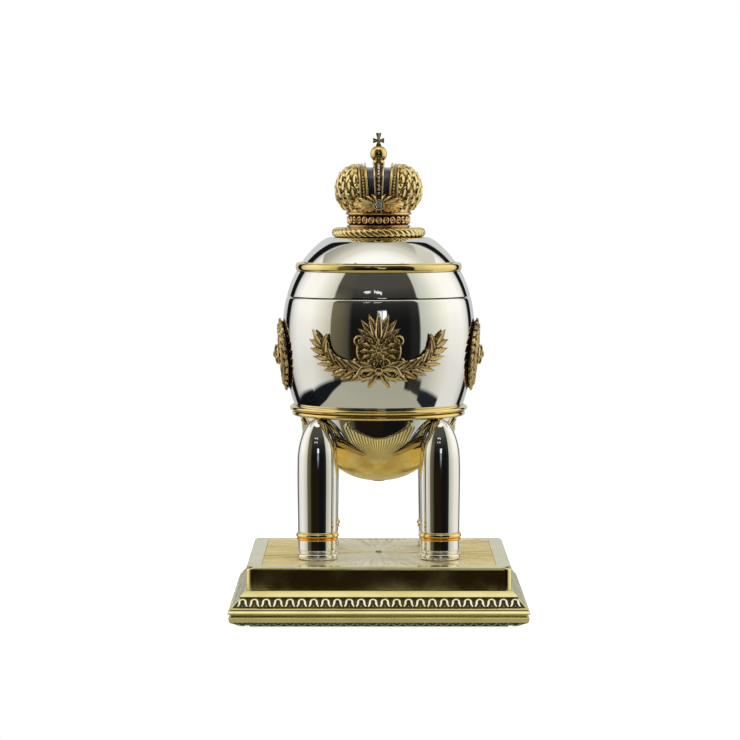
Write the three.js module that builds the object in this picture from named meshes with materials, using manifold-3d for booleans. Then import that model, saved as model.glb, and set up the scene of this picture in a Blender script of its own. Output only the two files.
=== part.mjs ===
// An egg-shaped trinket box on four round-nosed legs and a square plinth, with a crown as its finial.
// Millimetres, +Z up, the front faces -Y, the origin is the centre of the underside.

import * as THREE from "three";
import { mergeVertices } from "three/addons/utils/BufferGeometryUtils.js";
import Module from "manifold-3d";

const wasm = await Module();
wasm.setup();

// Clearances
const fitGap = 0.1; // turned piece in a turned seat with the same facets
const looseGap = 0.25; // piece laid on a curved or cut surface
const screwGap = 0.2; // screw shank in its hole
const through = 1; // how far a cutting tool runs past the face that it opens

// Plinth: a moulded frame and a platform slab, closed from below by a plate and felt
const feltThickness = 1;
const feltInset = 3;
const frameLift = 0.8;
const bottomPlateThickness = 1.4;
const plinthHalf = 61;
const footSetBack = 5.7; // from the ribbed band in to the foot of the frame
const undercutHeight = 1.85;
const ribBandHeight = 5.95;
const ribDepth = 1.1;
const friezeStep = 0.4;
const friezeSetBack = 5.1; // from the ribbed band in to the top of the frieze
const friezeHeight = 3.75;
const ledgeHeight = 2.43;
const ledgeReach = 0.8;
const frameWall = 5;
const slabSetBack = 7.25; // from the ribbed band in to the side of the slab
const slabHeight = 9.58;
const slabBevel = 1.2;
const deckThickness = 3;
const slabWall = 4;
const sunburstBorder = 6.25;
const sunburstThickness = 0.8;
const rosetteRivetRadius = 0.8;
const sunburstRosetteRadius = 1.7;
const sunburstRosetteHeight = 0.8;
const cornerPostRadius = 3.5;
const cornerPostGap = 0.75; // to the inside of the frame
const plateScrewRadius = 1.3;
const plateScrewHeadRadius = 2.4;
const plateScrewHeadHeight = 1.1;
const plateScrewLength = 7;

// Legs
const legSpacing = 50.4; // between centres, both ways
const legRadius = 8;
const legHeight = 57.8;
const noseHeight = 18;
const noseFlatRadius = 1.9;
const footRimRadius = 8.35;
const footRimHeight = 2.7;
const footGrooveRadius = 7.6;
const footGrooveHeight = 1.2;
const ringCentreHeight = 9.7;
const ringHeight = 3.4;
const ringProud = 0.7;
const ringGrooveDepth = 0.5;
const legScrewRadius = 1.5;
const legScrewDepth = 9;
const legScrewHeadHeight = 1.4;
const cupScrewRadius = 1;
const cupScrewDepth = 4;
const cupScrewHeadHeight = 0.8;
const cupScrewBelowBand = 6;
const headRatio = 1.8; // screw head radius to shank radius
const sliver = 0.01; // cuts leave no facet or edge finer than this
const nutBore = 1.25; // corner radius of a nut's six-sided bore to bolt radius

// Egg shell
const eggRadius = 40.1;
const eggLowerSemi = 60;
const eggUpperSemi = 47.5;
const eggUpperPower = 2.3; // a little fuller than an ellipse
const equatorAboveBand = 33.3; // from the underside of the lower band
const seamAboveEquator = 16.2;
const seamGap = 0.35;
const wall = 1.6;
const lowerBandHeight = 4.4;
const lowerBandProud = 1.95;
const lowerBandStep = 0.95; // the lower of its two rolls stands back by this
const upperBandAboveEquator = 26.9;
const upperBandHeight = 3.8;
const upperBandProud = 0.8;
const bandTongue = 2.4; // height of the spigot behind each shell edge
const bandTongueThickness = 0.8;
const crownSeatAboveEquator = 40.9;
const domeEdgeHeight = 0.4; // rounding between the dome and its flat top
const calyxGap = 0.45;
const calyxThickness = 0.7;
const calyxFlute = 0.3;
const calyxBoltRadius = 1;
const calyxBoltHeadRadius = 2.6;
const calyxBoltHeadHeight = 1;
const calyxNutRadius = 2.6;
const calyxNutLift = 0.4; // clears the curve of the cup under the nut
const calyxDropAtLegs = 11.3; // from the band to the edge of the calyx behind each leg
const calyxDropAtFans = 14.6;
const fanFootHalf = 5;
const fanSideHalf = 14.5;
const fanTipHalf = 13.3;
const fanDropAtSide = 4;
const fanDropAtTip = 1.4;
const fanDropAtDip = 8;
const liningThickness = 1.5;
const liningStandOff = 3.8; // from the outside of the shell to the back of the lining
const lidLiningStandOff = 4.4;
const liningFootRise = 0.3; // from the lining's flat bottom to the start of its curve
const rimUpstand = 2.3;
const rimDepth = 5.5;
const rimThickness = 1.3;
const rimChamfer = 0.35;
const lidRimGap = 0.35;
const lidLedgeBottom = 3.2; // above the seam
const lidLedgeHeight = 1.2;

// Hinge at the back of the seam
const hingeOffset = 2.9; // axis outside the shell at the seam
const knuckleRadius = 1.8;
const hingePinRadius = 0.8;
const hingePinHeadRadius = 1.3;
const hingePinHeadHeight = 0.6;
const hingeRunningGap = 0.08;
const sideKnuckle = 4;
const middleKnuckle = 5;
const knuckleGap = 0.2;
const leafHeight = 7.5;
const leafThickness = 0.7;
const hingeArm = 1.5;
const heelReach = 3; // the heel meets the lower leaf when the lid is 100 degrees open
const heelDrop = 0.94;
const heelRise = 0.9;

// Ornaments
const ornamentBelowEquator = 4.4;
const ornamentBacking = 0.9;
const ornamentLeafHeight = 1.6;
const ornamentCentreHeight = 2.3;
const ornamentPinRadius = 0.8;
const ornamentPinX = 14.9;
const ornamentPinBelow = 7.5; // below the middle of the ornament
const ornamentPinInside = 0.6;
const ornamentHalfHeight = 20;
const ornamentDiscRadius = 7.6;
const ornamentBackingRadius = 9;
const ornamentCentreRadius = 4.6;
const laurelLeaf = 8;
const laurelLeafWidth = 2.3;
const laurelStemHalf = 0.9;
const palmetteLeaf = 12.8;
const palmetteFoot = 3;
const bowDrop = 8;
const bowLoop = 10;
const bowTail = 8;
const ribbonWidth = 2.4;

// Curve of the stem of the right-hand spray: x, and height from the middle of the ornament
const laurelStem = [
  [-1.3, -7.5],
  [20, -11],
  [23, 3],
];
const medallionBelowEquator = 8;
const wreathRadius = 12.5;
const wreathTube = 2.5;
const wreathThickness = 3.4;
const wreathScallop = 0.7;
const wreathLift = 2.5; // from the shell to the middle of the wreath
const medallionPlateThickness = 1.2;
const medallionCollarRadius = 3;
const medallionPinRadius = 0.8;
const medallionPinInside = 0.4;
const medallionBossRadius = 4.2;
const medallionBossHeight = 1.8;

// Crown
const ropeRadius = 17.2;
const ropeTube = 2.2;
const ropeLay = 0.86; // radius between two strands to radius on one
const circletFootRadius = 14.6;
const circletFootHeight = 1.4;
const circletBottomRadius = 12.4;
const circletTopRadius = 13.4;
const circletHeight = 10.6;
const circletWall = 2;
const circletLip = 1.4; // how far the top reaches in past the wall
const circletBead = 0.5;
const lobeThickness = 1.5;
const capThickness = 1.2;
const valleyHalf = 5.6; // half the gap between the two lobes
const archHalf = 1.9;
const archProud = 0.5;
const bezelHeight = 3.2; // above the circlet
const bezelRadius = 2.2;
const bezelDepth = 1.6;
const bezelPinRadius = 0.8;
const bezelPinDepth = 1.5;
const stoneRadius = 1.4;
const stoneDepth = 0.7;
const stoneTable = 0.4; // height of the bevelled top
const sprayThickness = 0.9;
const sprayLeaf = 9.5;
const sprayLeafWidth = 1.7;
const orbRadius = 3.5;
const orbNeckHeight = 0.6;
const orbNeckRadius = 1.9;
const orbFlatRadius = 0.8;
const crossHeight = 5.3;
const crossWidth = 4.6;
const crossThickness = 1.3;
const crossArmWide = 0.95;
const crossArmNarrow = 0.45;
const crownBoltRadius = 1.2;
const crownNutRadius = 3;
const crownNutHeight = 2;

// Bulb of the crown, from the circlet up to the crest: radius and height
const bulbProfile = [
  [13.4, 0],
  [15.6, 2.9],
  [17.2, 5.9],
  [17.8, 9.2],
  [17.4, 12.5],
  [16.2, 15.5],
  [13.9, 18],
  [11, 19.3],
  [6, 20.1],
];
const bulbWaist = 3; // index of its widest point

// Facets round a full turn
const shellFacets = 24;
const legFacets = 14;
const crownFacets = 20;
const bossFacets = 12;
const screwFacets = 8;
const calyxFacets = 48;
const medallionFacets = 24;
const ornamentFacets = 20;
const hingeFacets = 16;
const nutSides = 6;

// Sizes worked out from the ones above
const slabHalf = plinthHalf - slabSetBack;
const footHalf = plinthHalf - footSetBack;
const friezeTopHalf = plinthHalf - friezeSetBack;
const sunburstHalf = slabHalf - sunburstBorder;
const frameInner = slabHalf - frameWall;
const cornerPostOffset = frameInner - cornerPostGap - cornerPostRadius;
const reach = plinthHalf; // longer than any radius, for tools that cut or cover
const ribBandBottom = frameLift + undercutHeight;
const friezeBottom = ribBandBottom + ribBandHeight;
const ledgeBottom = friezeBottom + friezeHeight;
const slabBottom = ledgeBottom + ledgeHeight;
const slabTop = slabBottom + slabHeight;
const deckUnderside = slabTop - deckThickness;
const plateTop = feltThickness + bottomPlateThickness;
const lowerBandBottom = slabTop + legHeight;
const lowerBandTop = lowerBandBottom + lowerBandHeight;
const equator = lowerBandBottom + equatorAboveBand;
const seam = equator + seamAboveEquator;
const lidBottom = seam + seamGap;
const upperBandBottom = equator + upperBandAboveEquator;
const upperBandTop = upperBandBottom + upperBandHeight;
const crownSeat = equator + crownSeatAboveEquator;
const cupBottom = equator - eggLowerSemi;
const circletTop = crownSeat + circletHeight;
const bulbTop = circletTop + bulbProfile.at(-1)[1];
const archTop = bulbTop + archProud;
const orbCentre = archTop + orbNeckHeight + Math.sqrt(orbRadius ** 2 - orbNeckRadius ** 2);
const orbTop = orbCentre + Math.sqrt(orbRadius ** 2 - orbFlatRadius ** 2);

const finishes = {
  steel: finish(0xd8d6d0, 0.06, 1),
  gold: finish(0xd8b060, 0.12, 1),
  antiqueGold: finish(0xb08a45, 0.3, 1),
  brass: finish(0xc9b36a, 0.12, 1),
  enamel: finish(0x0a0b0f, 0.1, 0),
  stone: finish(0xe8f2f4, 0.02, 0),
  velvet: finish(0x4a0f1c, 0.95, 0),
  felt: finish(0x1d3a2a, 1, 0),
};

function finish(color, roughness, metalness) {
  return new THREE.MeshStandardMaterial({ color, roughness, metalness });
}

const root = new THREE.Group();

function add(name, geometry, material) {
  const mesh = new THREE.Mesh(geometry, material);
  mesh.name = name;
  root.add(mesh);
}

// Turning, joining and cutting

// A solid turned about Z. The outline is [radius, height] pairs and closes on itself.
function turned(outline, facets, startAngle = 0) {
  const points = outline.map(([radius, height]) => new THREE.Vector2(radius, height));
  if (THREE.ShapeUtils.isClockWise(points)) points.reverse();
  points.push(points[0].clone());
  return new THREE.LatheGeometry(points, facets, startAngle).rotateX(Math.PI / 2);
}

// A mitred square frame or block: an outline turned in four steps.
function mitred(outline) {
  const toCorners = outline.map(([half, height]) => [half * Math.SQRT2, height]);
  return turned(toCorners, 4, Math.PI / 4);
}

// A skin over closed rings of points. Each ring joins the next and the last joins the first.
function ringed(rings) {
  const count = rings[0].length;
  const index = [];
  rings.forEach((ring, i) => {
    const here = i * count;
    const next = ((i + 1) % rings.length) * count;
    for (let j = 0; j < count; j++) {
      const k = (j + 1) % count;
      index.push(here + j, here + k, next + k, here + j, next + k, next + j);
    }
  });
  const geometry = new THREE.BufferGeometry();
  geometry.setAttribute("position", new THREE.Float32BufferAttribute(rings.flat(2), 3));
  geometry.setIndex(index);
  return geometry;
}

function solid(geometry) {
  const bare = geometry.clone();
  bare.deleteAttribute("normal");
  bare.deleteAttribute("uv");
  const merged = mergeVertices(bare, 1e-4);
  const mesh = new wasm.Mesh({
    numProp: 3,
    vertProperties: merged.attributes.position.array,
    triVerts: new Uint32Array(merged.index.array),
  });
  return new wasm.Manifold(mesh);
}

function geometryOf(body) {
  const mesh = body.simplify(sliver).getMesh();
  const geometry = new THREE.BufferGeometry();
  geometry.setAttribute("position", new THREE.BufferAttribute(mesh.vertProperties, 3));
  geometry.setIndex(new THREE.BufferAttribute(mesh.triVerts, 1));
  return geometry;
}

function joined(geometries) {
  return geometryOf(geometries.map(solid).reduce((whole, piece) => whole.add(piece)));
}

function cut(geometry, tools) {
  const start = solid(geometry);
  return geometryOf(tools.map(solid).reduce((whole, tool) => whole.subtract(tool), start));
}

function common(first, second) {
  return geometryOf(solid(first).intersect(solid(second)));
}

function block(x0, x1, y0, y1, z0, z1) {
  const box = new THREE.BoxGeometry(x1 - x0, y1 - y0, z1 - z0);
  return box.translate((x0 + x1) / 2, (y0 + y1) / 2, (z0 + z1) / 2);
}

// A cylinder on Z from z0 to z1.
function rod(radius, z0, z1, facets = screwFacets) {
  const cylinder = new THREE.CylinderGeometry(radius, radius, z1 - z0, facets);
  return cylinder.rotateX(Math.PI / 2).translate(0, 0, (z0 + z1) / 2);
}

// A screw on Z with a flat head that bears at headZ and a shank that ends at endZ.
function screw(radius, headHeight, headZ, endZ) {
  const headEnd = headZ - Math.sign(endZ - headZ) * headHeight;
  return turned(
    [
      [0, headEnd],
      [radius * headRatio, headEnd],
      [radius * headRatio, headZ],
      [radius, headZ],
      [radius, endZ],
      [0, endZ],
    ],
    screwFacets,
  );
}

// Turns a piece built along Z to point outward at an azimuth, tilted down by an angle.
function outward(geometry, radius, z, azimuth, tilt = 0) {
  geometry.rotateY(Math.PI / 2 + tilt).translate(radius, 0, z);
  return geometry.rotateZ(azimuth);
}

// Radius of the egg at a height: an ellipse below the equator and a fuller curve above it.
function eggAt(z, inset = 0) {
  const semi = (z > equator ? eggUpperSemi : eggLowerSemi) - inset;
  const power = z > equator ? eggUpperPower : 2;
  const share = Math.min(Math.abs(z - equator) / semi, 1);
  return (eggRadius - inset) * Math.sqrt(1 - share ** power);
}

// Points of the egg outline from z0 to z1, evenly spaced in angle so that its poles stay round.
function eggArc(z0, z1, inset, steps) {
  const semiAt = (height) => (height > 0 ? eggUpperSemi : eggLowerSemi) - inset;
  const angleAt = (z) => Math.asin(THREE.MathUtils.clamp((z - equator) / semiAt(z - equator), -1, 1));
  const points = [];
  for (let i = 0; i <= steps; i++) {
    const angle = THREE.MathUtils.lerp(angleAt(z0), angleAt(z1), i / steps);
    const z = equator + semiAt(angle) * Math.sin(angle);
    points.push([eggAt(z, inset), z]);
  }
  return points;
}

// A solid layer on the egg between two insets, from z0 to z1. A negative inset is outside it.
function eggLayer(z0, z1, outerInset, innerInset, steps) {
  const outline = [...eggArc(z0, z1, outerInset, steps), ...eggArc(z0, z1, innerInset, steps).reverse()];
  return turned(outline, shellFacets);
}

// Half a roll from radius r0 at z0 to r1 at z1.
function roll(r0, r1, proud, z0, z1, steps) {
  const points = [];
  for (let i = 0; i <= steps; i++) {
    const angle = (Math.PI * i) / steps;
    const share = (1 - Math.cos(angle)) / 2;
    const base = THREE.MathUtils.lerp(r0, r1, share);
    points.push([base + proud * Math.sin(angle), THREE.MathUtils.lerp(z0, z1, share)]);
  }
  return points;
}

// Plinth

const signs = [-1, 1];

function atPosts(geometry) {
  return signs.flatMap((sx) =>
    signs.map((sy) => geometry.clone().translate(sx * cornerPostOffset, sy * cornerPostOffset, 0)),
  );
}

const feltHalf = footHalf - feltInset;
const plateHalf = footHalf - frameWall / 2;

const feltPad = mitred([
  [0, 0],
  [feltHalf, 0],
  [feltHalf, feltThickness],
  [0, feltThickness],
]);
add("felt_pad", feltPad, finishes.felt);

// A countersunk screw or, with a gap, the hole for it.
function plateScrew(gap) {
  const headEnd = feltThickness + plateScrewHeadHeight;
  const end = plateTop + plateScrewLength + gap;
  return turned(
    [
      [0, feltThickness],
      [plateScrewHeadRadius + gap, feltThickness],
      [plateScrewRadius + gap, headEnd],
      [plateScrewRadius + gap, end],
      [0, end],
    ],
    screwFacets,
  );
}

const plateBlank = mitred([
  [0, feltThickness],
  [plateHalf, feltThickness],
  [plateHalf, plateTop],
  [0, plateTop],
]);
add("base_cover", cut(plateBlank, atPosts(plateScrew(screwGap))), finishes.steel);
atPosts(plateScrew(0)).forEach((piece, i) => add(`base_screw_${i + 1}`, piece, finishes.steel));

// Outline of the frame's ribbed band, as shares of its depth and of its height
const ribs = [
  [0.45, 0],
  [0.45, 0.05],
  [1, 0.1],
  [1, 0.15],
  [0.27, 0.19],
  [0.27, 0.31],
  [1, 0.35],
  [1, 0.48],
  [0, 0.53],
  [0, 0.72],
  [1, 0.78],
  [1, 0.88],
  [0.55, 0.92],
  [0.55, 1],
].map(([back, share]) => [plinthHalf - back * ribDepth, ribBandBottom + share * ribBandHeight]);

const plinthMoulding = mitred([
  [plateHalf + fitGap, frameLift],
  [footHalf, frameLift],
  ...ribs,
  [plinthHalf - ribDepth - friezeStep, friezeBottom],
  [friezeTopHalf, ledgeBottom],
  [friezeTopHalf, ledgeBottom + ledgeHeight * 0.2],
  [slabHalf + ledgeReach, ledgeBottom + ledgeHeight * 0.45],
  [slabHalf, slabBottom],
  [frameInner, slabBottom],
  [frameInner, plateTop + fitGap],
  [plateHalf + fitGap, plateTop + fitGap],
]);
add("plinth_moulding", plinthMoulding, finishes.brass);

const legOffset = legSpacing / 2;
const legPlaces = [
  ["front_left", -legOffset, -legOffset],
  ["front_right", legOffset, -legOffset],
  ["back_left", -legOffset, legOffset],
  ["back_right", legOffset, legOffset],
];

function deckHole(radius) {
  return rod(radius + screwGap, deckUnderside - through, slabTop + through);
}

const deckHoles = legPlaces.map(([, x, y]) => deckHole(legScrewRadius).translate(x, y, 0));
deckHoles.push(deckHole(rosetteRivetRadius));

// The slab is an upturned tray with a recess for the sunburst plate and four posts for the screws.
const sunburstUnderside = slabTop - sunburstThickness;
const tray = mitred([
  [slabHalf - slabWall, slabBottom],
  [slabHalf, slabBottom],
  [slabHalf, slabTop - slabBevel],
  [slabHalf - slabBevel, slabTop],
  [sunburstHalf + fitGap, slabTop],
  [sunburstHalf + fitGap, sunburstUnderside],
  [0, sunburstUnderside],
  [0, deckUnderside],
  [slabHalf - slabWall, deckUnderside],
]);
const posts = atPosts(rod(cornerPostRadius, plateTop, deckUnderside + deckThickness / 3));
const slab = cut(joined([tray, ...posts]), [...deckHoles, ...atPosts(plateScrew(screwGap))]);
add("platform_slab", slab, finishes.brass);

const sunburstPlate = mitred([
  [0, sunburstUnderside],
  [sunburstHalf, sunburstUnderside],
  [sunburstHalf, slabTop],
  [0, slabTop],
]);
add("sunburst_plate", cut(sunburstPlate, deckHoles), finishes.brass);

const sunburstRosette = turned(
  [
    [0, deckUnderside],
    [rosetteRivetRadius, deckUnderside],
    [rosetteRivetRadius, slabTop],
    [sunburstRosetteRadius, slabTop],
    [sunburstRosetteRadius * 0.8, slabTop + sunburstRosetteHeight * 0.6],
    [0, slabTop + sunburstRosetteHeight],
  ],
  bossFacets,
);
add("sunburst_rosette", sunburstRosette, finishes.brass);

// Legs: rim, groove, seat for the ring and a round nose that is cut to the curve of the cup

const noseRise = noseHeight * Math.sqrt(1 - (noseFlatRadius / legRadius) ** 2);
const calyxTopAtLegs = lowerBandBottom - calyxDropAtLegs + looseGap;
const ringBottom = slabTop + ringCentreHeight - ringHeight / 2;
const ringTop = ringBottom + ringHeight;
const rimTop = slabTop + footRimHeight;

function nosePoints(steps) {
  const points = [];
  for (let i = 0; i <= steps; i++) {
    const angle = (Math.asin(noseRise / noseHeight) * i) / steps;
    const z = lowerBandBottom - noseRise + noseHeight * Math.sin(angle);
    points.push([legRadius * Math.cos(angle), z]);
  }
  return points;
}

const legBlank = turned(
  [
    [0, slabTop],
    [footRimRadius, slabTop],
    [footRimRadius, rimTop],
    [footGrooveRadius, rimTop + footGrooveHeight * 0.3],
    [footGrooveRadius, rimTop + footGrooveHeight * 0.7],
    [legRadius, rimTop + footGrooveHeight],
    [legRadius, ringBottom - fitGap],
    [legRadius - ringGrooveDepth, ringBottom - fitGap],
    [legRadius - ringGrooveDepth, ringTop + fitGap],
    [legRadius, ringTop + fitGap],
    ...nosePoints(5),
    [0, lowerBandBottom],
  ],
  legFacets,
);
const calyxCover = calyxGap + calyxThickness + looseGap;
const cupNest = turned(
  [
    ...eggArc(cupBottom - calyxCover, calyxTopAtLegs, -calyxCover, 6),
    ...eggArc(calyxTopAtLegs + fitGap, lowerBandBottom, -looseGap, 2),
    [0, lowerBandBottom],
  ],
  shellFacets,
);
const ringBlank = turned(
  [
    [legRadius - ringGrooveDepth + fitGap, ringBottom],
    [legRadius + ringProud * 0.45, ringBottom],
    [legRadius + ringProud * 0.45, ringBottom + ringHeight * 0.28],
    ...roll(legRadius, legRadius, ringProud, ringBottom + ringHeight * 0.3, ringTop, 4),
    [legRadius - ringGrooveDepth + fitGap, ringTop],
  ],
  legFacets,
);

// The cup screws run square to the cup from inside it, outward and down into each nose.
const cupScrewZ = lowerBandBottom - cupScrewBelowBand;
const cupSlope = Math.atan2(eggAt(cupScrewZ + 1) - eggAt(cupScrewZ - 1), 2);

function atCupScrew(geometry, x, y) {
  return outward(geometry.clone(), eggAt(cupScrewZ), cupScrewZ, Math.atan2(y, x), cupSlope);
}

const cupScrew = screw(cupScrewRadius, cupScrewHeadHeight, -wall - looseGap * 2, cupScrewDepth);
const cupScrewHole = rod(cupScrewRadius + screwGap, -wall - through, cupScrewDepth + screwGap);
const legScrew = screw(legScrewRadius, legScrewHeadHeight, deckUnderside, slabTop + legScrewDepth);
const legScrewHole = rod(legScrewRadius + screwGap, deckUnderside, slabTop + legScrewDepth + screwGap);

for (const [place, x, y] of legPlaces) {
  const tools = [legScrewHole.clone().translate(x, y, 0), atCupScrew(cupScrewHole, x, y), cupNest];
  add(`leg_${place}`, cut(legBlank.clone().translate(x, y, 0), tools), finishes.steel);
  add(`leg_ring_${place}`, ringBlank.clone().translate(x, y, 0), finishes.gold);
  add(`leg_screw_${place}`, legScrew.clone().translate(x, y, 0), finishes.steel);
  add(`cup_screw_${place}`, atCupScrew(cupScrew, x, y), finishes.steel);
}

// Bowl: a cup and a barrel joined by the lower band

const calyxBoltHole = rod(calyxBoltRadius + screwGap, cupBottom - through, cupBottom + wall + through);
const cupBlank = turned(
  [
    [0, cupBottom],
    ...eggArc(cupBottom, lowerBandBottom, 0, 6).slice(1),
    ...eggArc(cupBottom + wall, lowerBandBottom, wall, 5).reverse(),
  ],
  shellFacets,
);
const cupHoles = legPlaces.map(([, x, y]) => atCupScrew(cupScrewHole, x, y));
add("cup_shell", cut(cupBlank, [calyxBoltHole, ...cupHoles]), finishes.steel);

// A ring between two shells with a tongue behind the edge of each.
function band(bottom, top, outerPoints) {
  const back = wall + looseGap;
  const low = bottom - bandTongue;
  const high = top + bandTongue;
  const lowRadius = Math.min(eggAt(low, back), eggAt(bottom, back));
  const highRadius = Math.min(eggAt(high, back), eggAt(top, back));
  return turned(
    [
      [lowRadius - bandTongueThickness, low],
      [lowRadius, low],
      [eggAt(bottom, back), bottom],
      ...outerPoints,
      [eggAt(top, back), top],
      [highRadius, high],
      [highRadius - bandTongueThickness, high],
      [eggAt(top, back) - bandTongueThickness, top],
      [eggAt(bottom, back) - bandTongueThickness, bottom],
    ],
    shellFacets,
  );
}

const bandRadius = eggAt(lowerBandTop);
const bandSplit = lowerBandBottom + lowerBandHeight * 0.45;
const lowerBandRolls = [
  ...roll(bandRadius, bandRadius, lowerBandProud - lowerBandStep, lowerBandBottom, bandSplit, 3),
  ...roll(bandRadius, bandRadius, lowerBandProud, bandSplit, lowerBandTop, 3).slice(1),
];
add("lower_band", band(lowerBandBottom, lowerBandTop, lowerBandRolls), finishes.gold);

// Pieces on the front and the sides are pinned through holes in the barrel.
const ornamentZ = equator - ornamentBelowEquator;
const medallionZ = equator - medallionBelowEquator;
const sideAzimuths = [Math.PI, 0];
const ornamentPinHoles = ornamentPins(ornamentPinRadius + fitGap);
const medallionPinHoles = sideAzimuths.map((azimuth) =>
  outward(
    rod(medallionPinRadius + fitGap, -wall - through, through),
    eggAt(medallionZ),
    medallionZ,
    azimuth,
  ),
);

function ornamentPins(radius) {
  const z = ornamentZ - ornamentPinBelow;
  const shellY = Math.sqrt(eggAt(z) ** 2 - ornamentPinX ** 2);
  const pinFront = shellY + ornamentBacking + fitGap;
  const pin = rod(radius, shellY - wall - ornamentPinInside, pinFront).rotateX(Math.PI / 2);
  return signs.map((side) => pin.clone().translate(side * ornamentPinX, 0, z));
}

const barrelBlank = eggLayer(lowerBandTop, seam, 0, wall, 5);
const barrelShell = cut(barrelBlank, [...ornamentPinHoles, ...medallionPinHoles]);
add("barrel_shell", barrelShell, finishes.steel);

// The rim stands up inside the lid and closes the bowl.
const rimTopZ = seam + rimUpstand;
const rimOuter = eggAt(rimTopZ, wall) - lidRimGap;
const rimBezel = turned(
  [
    [rimOuter - rimThickness, seam - rimDepth],
    [eggAt(seam - rimDepth, wall) - looseGap, seam - rimDepth],
    [eggAt(seam, wall) - fitGap, seam],
    [rimOuter, seam],
    [rimOuter, rimTopZ - rimChamfer],
    [rimOuter - rimChamfer, rimTopZ],
    [rimOuter - rimThickness, rimTopZ],
  ],
  shellFacets,
);
add("rim_bezel", rimBezel, finishes.gold);

const calyxNutTop = cupBottom + liningStandOff;
const liningFace = liningStandOff + liningThickness;
const bowlLiningTop = seam - rimDepth - fitGap;
const bowlLining = turned(
  [
    [0, calyxNutTop],
    [eggAt(calyxNutTop + liningFootRise, liningStandOff), calyxNutTop],
    ...eggArc(calyxNutTop + liningFootRise, bowlLiningTop, liningStandOff, 5).slice(1),
    ...eggArc(calyxNutTop + liningThickness, bowlLiningTop, liningFace, 4).reverse(),
  ],
  shellFacets,
);
add("bowl_lining", bowlLining, finishes.velvet);

// Calyx: a cap under the cup, and four fluted fans that flare up from it between the legs

const fanFootAngle = Math.asin(fanFootHalf / eggAt(lowerBandBottom - calyxDropAtFans));
const quarterTurn = Math.PI / 2;

// How far the edge of the cap lies under the band at an azimuth
function capDrop(azimuth) {
  const away = Math.abs(azimuth - quarterTurn * Math.round(azimuth / quarterTurn));
  const share = THREE.MathUtils.clamp((away - fanFootAngle) / (quarterTurn / 2 - fanFootAngle), 0, 1);
  return THREE.MathUtils.lerp(calyxDropAtFans, calyxDropAtLegs, share);
}

function calyxRing(share, offset, dropAt, fluteDepth = 0) {
  const radius = eggRadius + offset;
  const semi = eggLowerSemi + offset;
  const startAngle = -Math.acos((calyxBoltRadius + screwGap) / radius);
  const ring = [];
  for (let j = 0; j < calyxFacets; j++) {
    const azimuth = (2 * Math.PI * j) / calyxFacets;
    const edge = Math.asin((lowerBandBottom - dropAt(azimuth) - equator) / semi);
    const angle = THREE.MathUtils.lerp(startAngle, edge, share);
    const r = radius * Math.cos(angle) - (j % 2) * fluteDepth;
    ring.push([r * Math.cos(azimuth), r * Math.sin(azimuth), equator + semi * Math.sin(angle)]);
  }
  return ring;
}

// One fan drawn from the front: a narrow foot, sides that flare to square tips and a hollow top edge
function fanPrism() {
  const top = [];
  for (let i = -6; i <= 6; i++) {
    const share = i / 6;
    const drop = THREE.MathUtils.lerp(fanDropAtDip, fanDropAtTip, Math.abs(share) ** 1.6);
    top.push(new THREE.Vector2(fanTipHalf * share, lowerBandBottom - drop));
  }
  const side = lowerBandBottom - fanDropAtSide;
  const foot = lowerBandBottom - calyxDropAtFans - through;
  const shape = new THREE.Shape();
  shape.setFromPoints([
    new THREE.Vector2(-fanFootHalf, foot),
    new THREE.Vector2(fanFootHalf, foot),
    new THREE.Vector2(fanFootHalf, foot + through),
    new THREE.Vector2(fanSideHalf, side),
    ...top.reverse(),
    new THREE.Vector2(-fanSideHalf, side),
    new THREE.Vector2(-fanFootHalf, foot + through),
  ]);
  return flatPiece(shape);
}

const calyxOffset = calyxGap + calyxThickness;
const toTips = () => fanDropAtTip;
const wholeInner = [1, 0.83, 0.66, 0.49, 0.32, 0.15, 0].map((share) => calyxRing(share, calyxGap, toTips));
const wholeOuter = [0, 0.2, 0.4, 0.6, 0.8, 1].map((share) =>
  calyxRing(share, calyxOffset, toTips, share > 0.5 ? calyxFlute : 0),
);
const underCap = [0, 0.25, 0.5, 0.75, 1].map((share) => calyxRing(share, calyxOffset + through, capDrop));
const overCap = [1, 0.75, 0.5, 0.25, 0].map((share) => calyxRing(share, 0, capDrop));
const fans = [0, 1, 2, 3].map((turns) => fanPrism().rotateZ(turns * quarterTurn));
const calyxOutline = joined([ringed([...underCap, ...overCap]), ...fans]);
add("calyx", common(ringed([...wholeOuter, ...wholeInner]), calyxOutline), finishes.gold);

const calyxUnderside = cupBottom - calyxGap - calyxThickness - fitGap;
const calyxBolt = turned(
  [
    [0, calyxUnderside - calyxBoltHeadHeight],
    [calyxBoltHeadRadius * 0.5, calyxUnderside - calyxBoltHeadHeight],
    [calyxBoltHeadRadius, calyxUnderside],
    [calyxBoltRadius, calyxUnderside],
    [calyxBoltRadius, calyxNutTop],
    [0, calyxNutTop],
  ],
  screwFacets,
);
add("calyx_bolt", calyxBolt, finishes.gold);
const calyxNut = turned(
  [
    [calyxBoltRadius * nutBore, cupBottom + wall + calyxNutLift],
    [calyxNutRadius, cupBottom + wall + calyxNutLift],
    [calyxNutRadius, calyxNutTop],
    [calyxBoltRadius * nutBore, calyxNutTop],
  ],
  nutSides,
);
add("calyx_nut", calyxNut, finishes.brass);

// Front ornament: a rosette, two laurel sprays, a palmette above and a bow below

// A pointed leaf from (x, z), its tip at an angle from the horizontal.
function leaf(x, z, degrees, length, width) {
  const shape = new THREE.Shape();
  shape.moveTo(0, 0);
  shape.quadraticCurveTo(length * 0.45, width, length, 0);
  shape.quadraticCurveTo(length * 0.45, -width, 0, 0);
  const geometry = flatPiece(shape);
  return geometry.rotateY(THREE.MathUtils.degToRad(-degrees)).translate(x, 0, z);
}

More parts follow.
